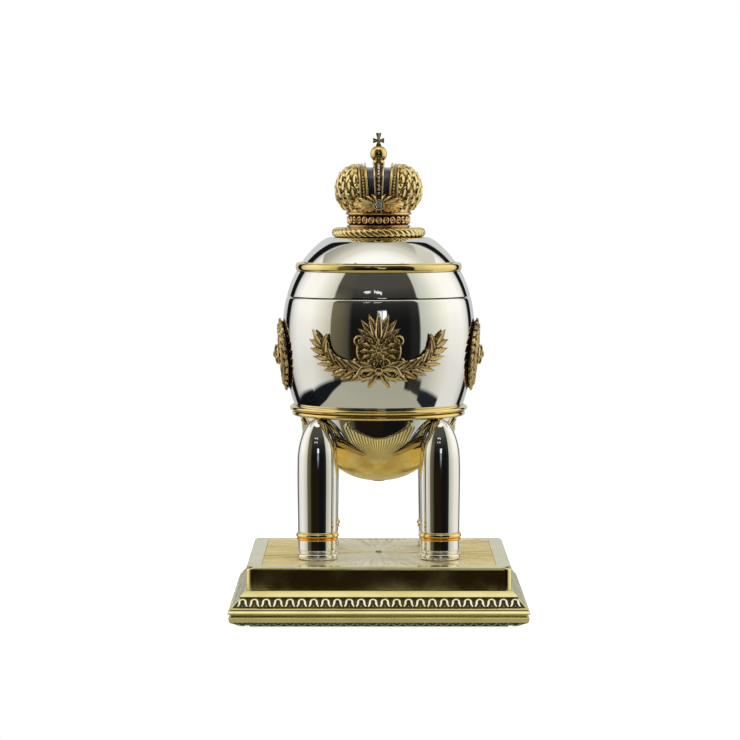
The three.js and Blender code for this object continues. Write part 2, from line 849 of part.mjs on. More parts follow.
// A flat shape stood up in the X-Z plane and drawn out toward the front.
function flatPiece(shape, depth = reach) {
  const options = { depth, bevelEnabled: false, curveSegments: 2 };
  return new THREE.ExtrudeGeometry(shape, options).rotateX(Math.PI / 2);
}

function disc(x, z, radius, facets) {
  return rod(radius, 0, reach, facets).rotateX(Math.PI / 2).translate(x, 0, z);
}

function sprayOnRight() {
  const stem = new THREE.QuadraticBezierCurve(...laurelStem.map(([x, z]) => new THREE.Vector2(x, z)));
  const leaves = [];
  const pairs = 5;
  for (let i = 0; i <= pairs; i++) {
    const share = (i + 0.5) / (pairs + 1);
    const at = stem.getPoint(share);
    const way = stem.getTangent(share);
    const degrees = THREE.MathUtils.radToDeg(Math.atan2(way.y, way.x));
    const length = laurelLeaf * (1 - share * 0.19);
    leaves.push(leaf(at.x, at.y, degrees + 38, length, laurelLeafWidth));
    leaves.push(leaf(at.x, at.y, degrees - 38, length, laurelLeafWidth));
  }
  const end = stem.getPoint(0.94);
  leaves.push(leaf(end.x, end.y, 60, laurelLeaf, laurelLeafWidth));
  const strip = new THREE.Shape();
  const points = stem.getPoints(8);
  const offsets = points.map((point, i) => {
    const way = stem.getTangent(i / 8);
    return new THREE.Vector2(-way.y, way.x).multiplyScalar(laurelStemHalf);
  });
  strip.setFromPoints([
    ...points.map((point, i) => point.clone().add(offsets[i])),
    ...points.map((point, i) => point.clone().sub(offsets[i])).reverse(),
  ]);
  return [flatPiece(strip), ...leaves];
}

function onEgg(pieces, height, raise) {
  const whole = joined(pieces).translate(0, 0, ornamentZ);
  const low = ornamentZ - ornamentHalfHeight;
  const high = ornamentZ + ornamentHalfHeight;
  return common(whole, eggLayer(low, high, -height, -raise, 5));
}

function mirrored(geometry) {
  const flipped = geometry.clone().scale(-1, 1, 1);
  const order = flipped.index ? flipped.index.array : null;
  const count = flipped.attributes.position.count;
  const indices = order ? Array.from(order) : Array.from({ length: count }, (_, i) => i);
  for (let i = 0; i < indices.length; i += 3) {
    [indices[i], indices[i + 1]] = [indices[i + 1], indices[i]];
  }
  flipped.setIndex(indices);
  return flipped;
}

const rightSpray = joined(sprayOnRight());
const palmette = [50, 70, 90, 110, 130].map((degrees) =>
  leaf(0, palmetteFoot, degrees, palmetteLeaf, ribbonWidth),
);
const loops = [-150, -30].map((degrees) => leaf(0, -bowDrop, degrees, bowLoop, ribbonWidth));
const tails = [-118, -62].map((degrees) => leaf(0, -bowDrop, degrees, bowTail, ribbonWidth));
const roundel = disc(0, 0, ornamentDiscRadius, ornamentFacets);
const backing = disc(0, 0, ornamentBackingRadius, ornamentFacets);
const centre = disc(0, 0, ornamentCentreRadius, bossFacets);
const leafWork = [rightSpray, mirrored(rightSpray), ...palmette, ...loops, ...tails, roundel];
const ornament = joined([
  onEgg(leafWork, ornamentLeafHeight, looseGap),
  onEgg([backing], ornamentBacking, looseGap + fitGap),
  onEgg([centre], ornamentCentreHeight, looseGap + fitGap),
  ...ornamentPins(ornamentPinRadius),
]);
add("front_ornament", ornament, finishes.antiqueGold);

// Side medallions: a plate with a wreath round it, and a boss whose pin holds it to the barrel

const plateBack = wreathLift - medallionPlateThickness / 2;
const plateFront = wreathLift + medallionPlateThickness / 2;

function medallionRing([radius, out, scallop]) {
  const ring = [];
  for (let j = 0; j < medallionFacets; j++) {
    const azimuth = (2 * Math.PI * j) / medallionFacets;
    const r = radius + (j % 2 ? scallop : 0);
    ring.push([r * Math.cos(azimuth), r * Math.sin(azimuth), out]);
  }
  return ring;
}

const halfThick = wreathThickness / 2;
const medallionPlate = ringed(
  [
    [medallionPinRadius + fitGap, looseGap, 0],
    [medallionCollarRadius, looseGap, 0],
    [medallionCollarRadius, plateBack, 0],
    [wreathRadius - wreathTube, plateBack, 0],
    [wreathRadius - wreathTube * 0.5, wreathLift - halfThick, 0],
    [wreathRadius + wreathTube * 0.5, wreathLift - halfThick, 0],
    [wreathRadius + wreathTube, wreathLift, -wreathScallop],
    [wreathRadius + wreathTube * 0.5, wreathLift + halfThick, -wreathScallop * 0.7],
    [wreathRadius - wreathTube * 0.5, wreathLift + halfThick, wreathScallop * 0.7],
    [wreathRadius - wreathTube, plateFront, 0],
    [medallionPinRadius + fitGap, plateFront, 0],
  ].map(medallionRing),
);
const medallionBoss = turned(
  [
    [0, -wall - medallionPinInside],
    [medallionPinRadius, -wall - medallionPinInside],
    [medallionPinRadius, plateFront],
    [medallionBossRadius, plateFront],
    [medallionBossRadius * 0.9, plateFront + medallionBossHeight * 0.4],
    [medallionBossRadius * 0.5, plateFront + medallionBossHeight * 0.85],
    [0, plateFront + medallionBossHeight],
  ],
  bossFacets,
);
["left", "right"].forEach((side, i) => {
  const place = (geometry) => outward(geometry.clone(), eggAt(medallionZ), medallionZ, sideAzimuths[i]);
  add(`medallion_${side}`, place(medallionPlate), finishes.antiqueGold);
  add(`medallion_boss_${side}`, place(medallionBoss), finishes.antiqueGold);
});

// Hinge

const hingeY = eggAt(seam) + hingeOffset;
const hingeZ = seam + seamGap / 2;
const middleHalf = middleKnuckle / 2;
const sideStart = middleHalf + knuckleGap;
const sideEnd = sideStart + sideKnuckle;

function alongX(geometry, x = 0) {
  return geometry.rotateY(Math.PI / 2).translate(x, hingeY, hingeZ);
}

function leafPatch(z0, z1) {
  const layer = eggLayer(z0, z1, -fitGap - leafThickness, -fitGap, 3);
  return common(layer, block(-sideEnd, sideEnd, 0, reach, z0, z1));
}

function hingeLeaf(z0, z1, knuckles, armZ0, armZ1, extras = []) {
  const armY = eggAt(seam) + fitGap + leafThickness / 2;
  const arms = knuckles.flatMap(([x0, x1]) => [
    alongX(rod(knuckleRadius, x0, x1, hingeFacets)),
    block(x0, x1, armY, hingeY, armZ0, armZ1),
  ]);
  const bore = alongX(rod(hingePinRadius + hingeRunningGap, -reach, reach, hingeFacets));
  return cut(joined([leafPatch(z0, z1), ...arms, ...extras]), [bore]);
}

const sideKnuckles = [
  [-sideEnd, -sideStart],
  [sideStart, sideEnd],
];
const lowerLeaf = hingeLeaf(seam - leafHeight, seam, sideKnuckles, seam - hingeArm, seam - fitGap);
add("hinge_lower_leaf", lowerLeaf, finishes.steel);
const heel = block(
  -middleHalf,
  middleHalf,
  hingeY,
  hingeY + heelReach,
  hingeZ - heelDrop,
  hingeZ + heelRise,
);
const upperLeaf = hingeLeaf(
  lidBottom,
  lidBottom + leafHeight,
  [[-middleHalf, middleHalf]],
  lidBottom + fitGap,
  lidBottom + hingeArm,
  [heel],
);
add("hinge_upper_leaf", upperLeaf, finishes.steel);
const pinReach = sideEnd + fitGap;
const hingePin = turned(
  [
    [0, -pinReach - hingePinHeadHeight],
    [hingePinHeadRadius, -pinReach - hingePinHeadHeight],
    [hingePinHeadRadius, -pinReach],
    [hingePinRadius, -pinReach],
    [hingePinRadius, pinReach],
    [hingePinHeadRadius, pinReach],
    [hingePinHeadRadius, pinReach + hingePinHeadHeight],
    [0, pinReach + hingePinHeadHeight],
  ],
  hingeFacets,
);
add("hinge_pin", alongX(hingePin), finishes.steel);

// Lid: a barrel and a dome joined by the upper band, closed by a lining on a ledge

const ledgeBottomZ = seam + lidLedgeBottom;
const ledgeTopZ = ledgeBottomZ + lidLedgeHeight;
const lidLiningFace = lidLiningStandOff + liningThickness;
const lidBarrel = turned(
  [
    ...eggArc(lidBottom, upperBandBottom, 0, 2),
    ...eggArc(ledgeTopZ, upperBandBottom, wall, 2).reverse(),
    [eggAt(ledgeTopZ, lidLiningFace), ledgeTopZ],
    [eggAt(ledgeBottomZ, lidLiningFace), ledgeBottomZ],
    [eggAt(ledgeBottomZ, wall), ledgeBottomZ],
    [eggAt(lidBottom, wall), lidBottom],
  ],
  shellFacets,
);
add("lid_barrel", lidBarrel, finishes.steel);

const upperRoll = roll(
  eggAt(upperBandBottom),
  eggAt(upperBandTop),
  upperBandProud,
  upperBandBottom,
  upperBandTop,
  5,
);
add("upper_band", band(upperBandBottom, upperBandTop, upperRoll), finishes.gold);

const domeEdge = crownSeat - domeEdgeHeight;
const domeCeiling = crownSeat - wall;
const crownBoltHole = crownBoltRadius + screwGap;
const lidDome = turned(
  [
    [crownBoltHole, crownSeat],
    [eggAt(crownSeat) - domeEdgeHeight, crownSeat],
    ...eggArc(upperBandTop, domeEdge, 0, 4).reverse(),
    ...eggArc(upperBandTop, domeCeiling, wall, 4),
    [crownBoltHole, domeCeiling],
  ],
  shellFacets,
);
add("lid_dome", lidDome, finishes.steel);

const crownBoltEnd = domeCeiling - crownNutHeight;
const lidLiningTop = crownBoltEnd - looseGap;
const lidLining = turned(
  [
    ...eggArc(ledgeTopZ, lidLiningTop, lidLiningStandOff, 4),
    [0, lidLiningTop],
    [0, lidLiningTop - liningThickness],
    ...eggArc(ledgeTopZ, lidLiningTop - liningThickness, lidLiningFace, 4).reverse(),
  ],
  shellFacets,
);
add("lid_lining", lidLining, finishes.velvet);

// Crown

const ropeTwists = 14;
const ropeRings = [];
const ropeSides = 6;
for (let i = 0; i < ropeSides; i++) {
  const ring = [];
  for (let j = 0; j < ropeTwists * 3; j++) {
    const azimuth = (2 * Math.PI * j) / (ropeTwists * 3);
    const turn = (2 * Math.PI * i) / ropeSides + Math.PI / 6;
    const tube = ropeTube * ((i * 2 + j) % 3 ? 1 : ropeLay);
    const r = ropeRadius + tube * Math.cos(turn);
    ring.push([r * Math.cos(azimuth), r * Math.sin(azimuth), tube * Math.sin(turn)]);
  }
  ropeRings.push(ring);
}
const rope = common(
  ringed(ropeRings).translate(0, 0, crownSeat + ropeTube * ropeLay),
  rod(reach, crownSeat, circletTop),
);
add("rope_ring", rope, finishes.gold);

const circlet = turned(
  [
    [circletBottomRadius - circletWall, crownSeat],
    [circletFootRadius, crownSeat],
    [circletFootRadius, crownSeat + circletFootHeight],
    [circletBottomRadius, crownSeat + circletFootHeight * 2],
    [circletBottomRadius + circletBead * 0.2, circletTop - circletHeight * 0.53],
    [circletBottomRadius + circletBead, circletTop - circletHeight * 0.47],
    [circletBottomRadius + circletBead * 0.4, circletTop - circletHeight * 0.415],
    [circletTopRadius - circletBead * 1.4, circletTop - circletHeight * 0.13],
    [circletTopRadius, circletTop - circletHeight * 0.1],
    [circletTopRadius, circletTop],
    [circletTopRadius - circletWall - circletLip, circletTop],
  ],
  crownFacets,
);
add("crown_circlet", circlet, finishes.antiqueGold);

// Outline of the bulb drawn in by an inset, or out by a negative one
function bulb(inset) {
  const [waistRadius, waistZ] = bulbProfile[bulbWaist];
  const crest = bulbProfile.at(-1)[1];
  return bulbProfile.map(([radius, height]) => {
    const above = Math.max(height - waistZ, 0);
    const z = height - (inset * above) / (crest - waistZ);
    return [radius - (inset * radius) / waistRadius, circletTop + z];
  });
}

function bulbLayer(outerInset, innerInset) {
  const outer = bulb(outerInset);
  const inner = bulb(innerInset);
  return turned(
    [
      ...outer,
      [crownBoltHole, outer.at(-1)[1]],
      [crownBoltHole, inner.at(-1)[1]],
      ...inner.reverse(),
    ],
    crownFacets,
  );
}

const capInset = lobeThickness + fitGap;
add("crown_cap", bulbLayer(capInset, capInset + capThickness), finishes.enamel);
const lobes = bulbLayer(0, lobeThickness);
const highZ = archTop + through;
const leftHalf = block(-reach, -valleyHalf, -reach, reach, crownSeat, highZ);
const rightHalf = block(valleyHalf, reach, -reach, reach, crownSeat, highZ);
add("crown_lobe_left", common(lobes, leftHalf), finishes.antiqueGold);
add("crown_lobe_right", common(lobes, rightHalf), finishes.antiqueGold);

const bezelZ = circletTop + bezelHeight;
const archBlock = block(-archHalf, archHalf, -reach, reach, crownSeat, highZ);
const archBand = common(bulbLayer(-archProud, lobeThickness), archBlock);
const bezelPinHole = towardFront(rod(bezelPinRadius + fitGap, -reach, reach));
add("crown_arch", cut(archBand, [bezelPinHole]), finishes.gold);

// A leaf spray with a stone in a round setting, pinned to each foot of the arch
const sprayOutset = archProud + looseGap;
const sprayBack = bulbRadiusAt(bezelHeight) + sprayOutset;
const sprayShapes = [2, 22, 178, 158, 342, 198].map((degrees) =>
  leaf(0, bezelZ, degrees, sprayLeaf, sprayLeafWidth),
);
const sprayLayer = bulbLayer(-sprayOutset - sprayThickness, -sprayOutset);
const sprayDisc = disc(0, bezelZ, bezelRadius, screwFacets);
const sprayLeaves = common(joined([...sprayShapes, sprayDisc]), sprayLayer);

function bulbRadiusAt(height) {
  const above = bulbProfile.findIndex(([, z]) => z >= height);
  const [[r0, z0], [r1, z1]] = bulbProfile.slice(above - 1, above + 1);
  return THREE.MathUtils.mapLinear(height, z0, z1, r0, r1);
}

const stoneBottom = sprayBack + bezelDepth - stoneDepth;
const bulbUnderSpray = turned([...bulb(-sprayOutset), [0, highZ], [0, crownSeat]], crownFacets);
const bezelCup = cut(towardFront(rod(bezelRadius, 0, sprayBack + bezelDepth)), [bulbUnderSpray]);
const bezelPin = towardFront(rod(bezelPinRadius, sprayBack - bezelPinDepth, sprayBack + bezelDepth / 3));
const stonePocket = towardFront(rod(stoneRadius + fitGap, stoneBottom, reach));
const sprayPiece = cut(joined([sprayLeaves, bezelCup, bezelPin]), [stonePocket]);

function towardFront(geometry) {
  return geometry.rotateX(Math.PI / 2).translate(0, 0, bezelZ);
}

const girdle = stoneBottom + stoneDepth;
const stoneBlank = turned(
  [
    [0, stoneBottom],
    [stoneRadius, stoneBottom],
    [stoneRadius, girdle],
    [stoneRadius * 0.6, girdle + stoneTable],
    [0, girdle + stoneTable],
  ],
  screwFacets,
);
const stone = towardFront(stoneBlank);
["front", "back"].forEach((side, i) => {
  add(`crown_spray_${side}`, sprayPiece.clone().rotateZ(Math.PI * i), finishes.antiqueGold);
  add(`crown_stone_${side}`, stone.clone().rotateZ(Math.PI * i), finishes.stone);
});

// The orb's stem is the bolt that holds the crown together and to the dome.
const orbPoints = [];
const orbSteps = 6;
for (let i = 0; i <= orbSteps; i++) {
  const from = -Math.acos(orbNeckRadius / orbRadius);
  const to = Math.acos(orbFlatRadius / orbRadius);
  const angle = THREE.MathUtils.lerp(from, to, i / orbSteps);
  orbPoints.push([orbRadius * Math.cos(angle), orbCentre + orbRadius * Math.sin(angle)]);
}
const orb = turned(
  [
    [0, crownBoltEnd],
    [crownBoltRadius, crownBoltEnd],
    [crownBoltRadius, archTop],
    [orbNeckRadius, archTop],
    ...orbPoints,
    [0, orbTop],
  ],
  bossFacets,
);
add("crown_orb", orb, finishes.gold);

const crownNut = turned(
  [
    [crownBoltRadius * nutBore, crownBoltEnd],
    [crownNutRadius, crownBoltEnd],
    [crownNutRadius, domeCeiling],
    [crownBoltRadius * nutBore, domeCeiling],
  ],
  nutSides,
);
add("crown_nut", crownNut, finishes.brass);

const crossShape = new THREE.Shape();
const crossCentre = crossHeight * 0.55;
const halfCross = crossWidth / 2;
crossShape.setFromPoints(
  [
    [-crossArmWide, 0],
    [-crossArmNarrow, crossCentre - crossArmNarrow],
    [-halfCross, crossCentre - crossArmWide],
    [-halfCross, crossCentre + crossArmWide],
    [-crossArmNarrow, crossCentre + crossArmNarrow],
    [-crossArmWide, crossHeight],
    [crossArmWide, crossHeight],
    [crossArmNarrow, crossCentre + crossArmNarrow],
    [halfCross, crossCentre + crossArmWide],
    [halfCross, crossCentre - crossArmWide],
    [crossArmNarrow, crossCentre - crossArmNarrow],
    [crossArmWide, 0],
  ].map(([x, z]) => new THREE.Vector2(x, z)),
);
const cross = flatPiece(crossShape, crossThickness).translate(0, crossThickness / 2, orbTop);
add("crown_cross", cross, finishes.antiqueGold);

export default root;
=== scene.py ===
# The looks of an egg-shaped trinket box on four legs and a square plinth, built round its CAD frame.
# Sizes are in millimetres until a piece is finished, +Z is up and the front faces -Y.

from math import acos, asin, atan2, cos, pi, radians, sin, sqrt

import bmesh
import bpy
from mathutils import Matrix, Vector


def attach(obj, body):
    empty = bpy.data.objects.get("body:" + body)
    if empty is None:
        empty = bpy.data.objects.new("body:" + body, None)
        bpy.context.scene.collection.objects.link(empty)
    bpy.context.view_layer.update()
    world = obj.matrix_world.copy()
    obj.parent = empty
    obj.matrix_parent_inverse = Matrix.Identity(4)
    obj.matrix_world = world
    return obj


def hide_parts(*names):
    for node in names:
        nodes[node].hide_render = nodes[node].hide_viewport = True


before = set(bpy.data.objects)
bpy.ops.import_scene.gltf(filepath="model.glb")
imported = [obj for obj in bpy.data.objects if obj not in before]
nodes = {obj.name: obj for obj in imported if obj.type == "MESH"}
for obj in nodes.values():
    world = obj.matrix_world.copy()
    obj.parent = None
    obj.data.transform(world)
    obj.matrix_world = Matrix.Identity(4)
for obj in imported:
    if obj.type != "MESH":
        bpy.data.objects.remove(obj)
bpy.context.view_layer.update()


# Studio ---------------------------------------------------------------------------------------
# A white table inside a light tent. The camera looks in through a dark opening, and a dark strip
# stands where each side panel meets the backdrop, so polished metal shows bands of white and black.

def shader_node(tree, kind, inputs=None, **settings):
    """Adds a node. Inputs are sockets to link or values to type in."""
    made = tree.nodes.new("ShaderNode" + kind)
    for name, value in settings.items():
        setattr(made, name, value)
    for name, value in (inputs or {}).items():
        if isinstance(value, bpy.types.NodeSocket):
            tree.links.new(value, made.inputs[name])
        else:
            made.inputs[name].default_value = value
    return made


def maths(tree, operation, *values):
    """Arithmetic on single values."""
    return shader_node(tree, "Math", dict(enumerate(values)), operation=operation).outputs[0]


def ramp(tree, value, stops):
    """A colour ramp over stops of (position, grey or colour)."""
    made = shader_node(tree, "ValToRGB", {"Fac": value})
    marks = made.color_ramp.elements
    while len(marks) < len(stops):
        marks.new(1)
    for mark, (position, colour) in zip(marks, stops):
        mark.position = position
        mark.color = (*colour, 1) if isinstance(colour, tuple) else (colour, colour, colour, 1)
    return made.outputs["Color"]


def blended(tree, factor, first, second, way="MIX"):
    """A colour mix."""
    made = shader_node(tree, "Mix", {0: factor, 6: first, 7: second}, data_type="RGBA", blend_type=way)
    return made.outputs[2]


def mapped(tree, value, low, high, to_low=0, to_high=1):
    """Maps a value from one range to another and holds it at the ends."""
    limits = {"Value": value, "From Min": low, "From Max": high, "To Min": to_low, "To Max": to_high}
    return shader_node(tree, "MapRange", limits).outputs[0]


def vectors(tree, operation, *values):
    return shader_node(tree, "VectorMath", dict(enumerate(values)), operation=operation).outputs


def noise(tree, place, scale, detail, **more):
    return shader_node(tree, "TexNoise", {"Vector": place, "Scale": scale, "Detail": detail, **more}).outputs[0]


scene = bpy.context.scene
scene.view_settings.view_transform = "Standard"

lens_data = bpy.data.cameras.new("camera")
lens_data.lens = 161.4  # a long lens from 1.4 m away, as the nearly level lines of the plinth ask for
lens_data.sensor_width = 36
camera = bpy.data.objects.new("camera", lens_data)
camera.location = (-0.0036, -1.386, 0.1851)
looking_down = 3.48
camera.rotation_euler = (radians(90 - looking_down), 0, 0)
scene.collection.objects.link(camera)
scene.camera = camera

tent = bpy.data.worlds.new("light_tent")
scene.world = tent
tent.use_nodes = True
tent.cycles.sampling_method = "NONE"
sky = tent.node_tree
sky.nodes.clear()
axes = shader_node(sky, "SeparateXYZ", {0: shader_node(sky, "TexCoord").outputs["Generated"]}).outputs
turn = maths(sky, "DEGREES", maths(sky, "ARCTAN2", axes[0], maths(sky, "MULTIPLY", axes[1], -1)))
rise = maths(sky, "DEGREES", maths(sky, "ARCSINE", axes[2]))
backdrop, black = (0.63, 0.65, 0.65), (0.008, 0.008, 0.008)
walls = [
    (-180, backdrop), (-150.5, backdrop), (-149.5, black), (-136.5, black), (-134, (0.62, 0.61, 0.57)),
    (-125, (0.88, 0.87, 0.83)), (-114, (1.03, 1.01, 0.96)), (-92, (1.04, 1.01, 0.95)), (-85, (0.95, 0.93, 0.85)),
    (-72, (0.79, 0.77, 0.67)), (-60.5, (0.62, 0.59, 0.50)), (-59.5, (0.17, 0.15, 0.085)),
    (-45, (0.115, 0.105, 0.062)), (-38, (0.075, 0.07, 0.05)), (-33, black),
    (36, black), (42, (0.018, 0.019, 0.018)), (50.5, (0.018, 0.019, 0.018)),
    (51.5, (0.55, 0.57, 0.50)), (64, (0.67, 0.69, 0.59)), (83, (0.94, 0.92, 0.80)), (96, (1.05, 1.03, 0.95)),
    (120, (1.05, 1.04, 0.99)), (131, (0.90, 0.88, 0.80)), (137, (0.62, 0.61, 0.56)), (138.5, black), (149.5, black),
    (150.5, backdrop), (180, backdrop),
]
way_round = maths(sky, "MULTIPLY_ADD", turn, 1 / 360, 0.5)
around = ramp(sky, way_round, [(azimuth / 360 + 0.5, colour) for azimuth, colour in walls])
higher = mapped(sky, rise, -12, 9, 0.76, 1)
opening = ramp(sky, way_round, [
    (azimuth / 360 + 0.5, grey) for azimuth, grey in ((-180, 0), (-61, 0), (-60, 1), (50, 1), (51, 0), (180, 0))])
kept = maths(sky, "SUBTRACT", 1, maths(sky, "MULTIPLY", opening, mapped(sky, rise, 18, 34, 0, 0.9)))
around = shader_node(sky, "VectorMath", {
    0: around, "Scale": maths(sky, "MULTIPLY", higher, kept)}, operation="SCALE").outputs[0]
haze = ramp(sky, maths(sky, "MULTIPLY_ADD", rise, 1 / 180, 0.5), [
    (0, 0), (0.54, 0), (0.60, (0.010, 0.010, 0.009)), (0.66, (0.035, 0.034, 0.029)), (0.71, (0.068, 0.066, 0.054)),
    (1, (0.08, 0.077, 0.062))])
tent_light = vectors(sky, "ADD", around, blended(sky, opening, (0, 0, 0, 1), haze))[0]
# The ceiling starts low over the side panels and high over the opening, and it is brightest in front.
starts = ramp(sky, maths(sky, "MULTIPLY", maths(sky, "ABSOLUTE", turn), 1 / 180), [
    (0, 0.62), (60 / 180, 0.62), (100 / 180, 0.38), (131 / 180, 0.38), (133 / 180, 0.57), (1, 0.57)])
past = maths(sky, "SUBTRACT", rise, maths(sky, "MULTIPLY", starts, 100))
ceiling = mapped(sky, past, 0, 1.5)
overhead = ramp(sky, maths(sky, "MULTIPLY_ADD", axes[1], 0.5, 0.5), [
    (0.40, (1.05, 1.05, 1.0)), (0.475, (0.90, 0.89, 0.80)), (0.50, (0.77, 0.76, 0.65)), (0.55, (0.71, 0.70, 0.60)),
    (0.60, (0.57, 0.54, 0.45)), (0.65, (0.44, 0.43, 0.35)), (0.75, (0.34, 0.33, 0.27))])
tent_light = blended(sky, ceiling, tent_light, overhead)
# Gaps beside the table, the ground under it, a lamp and windows far behind the camera, each with
# azimuth, elevation, half width, half height, softness, rise per degree of azimuth and colour
wobble = noise(sky, shader_node(sky, "TexCoord").outputs["Generated"], 22, 3)
wobble = maths(sky, "MULTIPLY_ADD", wobble, 7, -3.5)
ground_grey = (0.40, 0.39, 0.31, 1)
reflected = [
    (-76, -31, 26, 7.5, 2, 0, (0.008, 0.010, 0.012, 1)),
    (-121, -23.3, 22, 3.6, 1.5, -0.135, (0.006, 0.006, 0.008, 1)),
    (73, -33, 17, 4.6, 2, 0, (0.014, 0.018, 0.022, 1)),
    (48, -28, 8, 4, 3, 0, (0.03, 0.028, 0.02, 1)),
    (-8, -72.4, 42, 47, 1, 0, ground_grey),
    (-66, -75.8, 16.5, 47, 1, 0.18, ground_grey),
    (45, -78.1, 11, 47, 1, -0.1, ground_grey),
    (118, 47, 13, 8, 2, 0, (0.68, 0.66, 0.57, 1)),
    (-14, -7, 18, 2.2, 6, 0, (0.014, 0.009, 0.004, 1)),
    (4, 5, 2.5, 5, 3.5, 0, (0.30, 0.33, 0.37, 1)),
    (1.4, 12.5, 2.2, 3.0, 0.6, 0, (0.75, 0.88, 1.0, 1)),
    (7.2, 12.5, 2.3, 3.2, 0.5, 0, (1.1, 1.15, 1.2, 1)),
    (-16, 33.3, 4.4, 0.5, 0.9, 0.1, (1, 1, 1, 1)),
    (-1, 33.2, 4.8, 0.6, 0.9, -0.15, (1, 1, 1, 1)),
    (-16, 25.6, 3.4, 0.4, 0.8, 0.15, (0.9, 0.9, 0.9, 1)),
    (-2, 26.2, 3.8, 0.5, 0.8, -0.1, (1, 1, 1, 1)),
]
for azimuth, elevation, half_width, half_height, softness, slope, colour in reflected:
    beside = maths(sky, "SUBTRACT", turn, azimuth)
    above = maths(sky, "SUBTRACT", maths(sky, "MULTIPLY_ADD", beside, -slope, rise), elevation)
    if half_height < 1:
        above = maths(sky, "ADD", above, wobble)
    inside = 1
    for distance, half in ((beside, half_width), (above, half_height)):
        edge = mapped(sky, maths(sky, "ABSOLUTE", distance), half, half + softness, 1, 0)
        inside = maths(sky, "MULTIPLY", edge, inside)
    tent_light = blended(sky, inside, tent_light, colour)
seen = shader_node(sky, "LightPath").outputs
mirrored = maths(sky, "MAXIMUM", seen["Is Glossy Ray"], seen["Is Transmission Ray"])
light = blended(sky, mirrored, (0.62, 0.62, 0.61, 1), tent_light)
light = blended(sky, seen["Is Camera Ray"], light, (1, 1, 1, 1))
shader_node(sky, "OutputWorld", {"Surface": shader_node(sky, "Background", {"Color": light}).outputs[0]})

for name, place, size, power in (
    ("left_panel", (-0.55, -0.15, 0.35), 0.5, 3.2),
    ("right_panel", (0.55, -0.15, 0.35), 0.5, 3.2),
    ("top_panel", (0.0, -0.1, 0.75), 0.5, 4.5),
):
    panel_data = bpy.data.lights.new(name, "AREA")
    panel_data.size = size
    panel_data.energy = power
    panel_light = bpy.data.objects.new(name, panel_data)
    panel_light.location = place
    panel_light.rotation_euler = (Vector((0, 0, 0.1)) - Vector(place)).to_track_quat("-Z", "Y").to_euler()
    panel_light.visible_glossy = False
    panel_light.visible_camera = False
    scene.collection.objects.link(panel_light)

table_bm = bmesh.new()
bmesh.ops.create_grid(table_bm, x_segments=1, y_segments=1, size=0.5)
bmesh.ops.scale(table_bm, vec=(0.299, 0.755, 1), verts=table_bm.verts)
bmesh.ops.translate(table_bm, vec=(-0.0225, 0.2225, 0), verts=table_bm.verts)
table_mesh = bpy.data.meshes.new("table")
table_bm.to_mesh(table_mesh)
table_bm.free()
table = bpy.data.objects.new("table", table_mesh)
scene.collection.objects.link(table)
table_finish = bpy.data.materials.new("white_table")
table_finish.use_nodes = True
tops = table_finish.node_tree
tops.nodes.clear()
table_seen = shader_node(tops, "LightPath").outputs
table_shown = maths(tops, "MAXIMUM", table_seen["Is Camera Ray"],
                    maths(tops, "MAXIMUM", table_seen["Is Glossy Ray"], table_seen["Is Transmission Ray"]))
paper = shader_node(tops, "BsdfDiffuse", {"Color": (0.75, 0.75, 0.74, 1)}).outputs[0]
tint = blended(tops, table_seen["Is Camera Ray"], (0.13, 0.127, 0.10, 1), (0.22, 0.22, 0.22, 1))
faint = shader_node(tops, "BsdfDiffuse", {"Color": tint}).outputs[0]
bright = blended(tops, table_seen["Is Camera Ray"], (0.16, 0.157, 0.125, 1), (0.90, 0.90, 0.90, 1))
glow = shader_node(tops, "Emission", {"Color": bright}).outputs[0]
lit = shader_node(tops, "AddShader", {0: faint, 1: glow}).outputs[0]
top_mix = shader_node(tops, "MixShader", {0: table_shown, 1: paper, 2: lit}).outputs[0]
shader_node(tops, "OutputMaterial", {"Surface": top_mix})
table_mesh.materials.append(table_finish)


# Underside ------------------------------------------------------------------------------------
# A green felt pad glued to a steel cover plate, which four countersunk screws hold to the slab.
# The screws and nuts inside the egg and the legs are of the same plain turned steel.

def group_of(name, inputs, outputs):
    """A node group with named sockets. Returns it with its input and output nodes."""
    tree = bpy.data.node_groups.new(name, "ShaderNodeTree")
    for socket, kind in inputs.items():
        tree.interface.new_socket(name=socket, in_out="INPUT", socket_type="NodeSocket" + kind)
    for socket, kind in outputs.items():
        tree.interface.new_socket(name=socket, in_out="OUTPUT", socket_type="NodeSocket" + kind)
    return tree, tree.nodes.new("NodeGroupInput").outputs, tree.nodes.new("NodeGroupOutput").inputs


def placed(tree, group, inputs):
    """Puts a node group into a material with its own values."""
    made = tree.nodes.new("ShaderNodeGroup")
    made.node_tree = group
    for name, value in inputs.items():
        if isinstance(value, bpy.types.NodeSocket):
            tree.links.new(value, made.inputs[name])
        else:
            made.inputs[name].default_value = value
    return made.outputs


def finish_of(name, **values):
    """A material whose Principled shader holds the given plain values."""
    made = bpy.data.materials.new(name)
    made.use_nodes = True
    shader = made.node_tree.nodes["Principled BSDF"]
    for socket, value in values.items():
        shader.inputs[socket.replace("_", " ").title().replace("Ior", "IOR")].default_value = value
    return made, made.node_tree, shader.inputs


def object_place(tree):
    return shader_node(tree, "TexCoord").outputs["Object"]


def bumped(tree, sockets, height, strength, distance):
    """Links a bump to a shader's normal."""
    made = shader_node(tree, "Bump", {"Height": height, "Strength": strength, "Distance": distance})
    tree.links.new(made.outputs[0], sockets["Normal"])


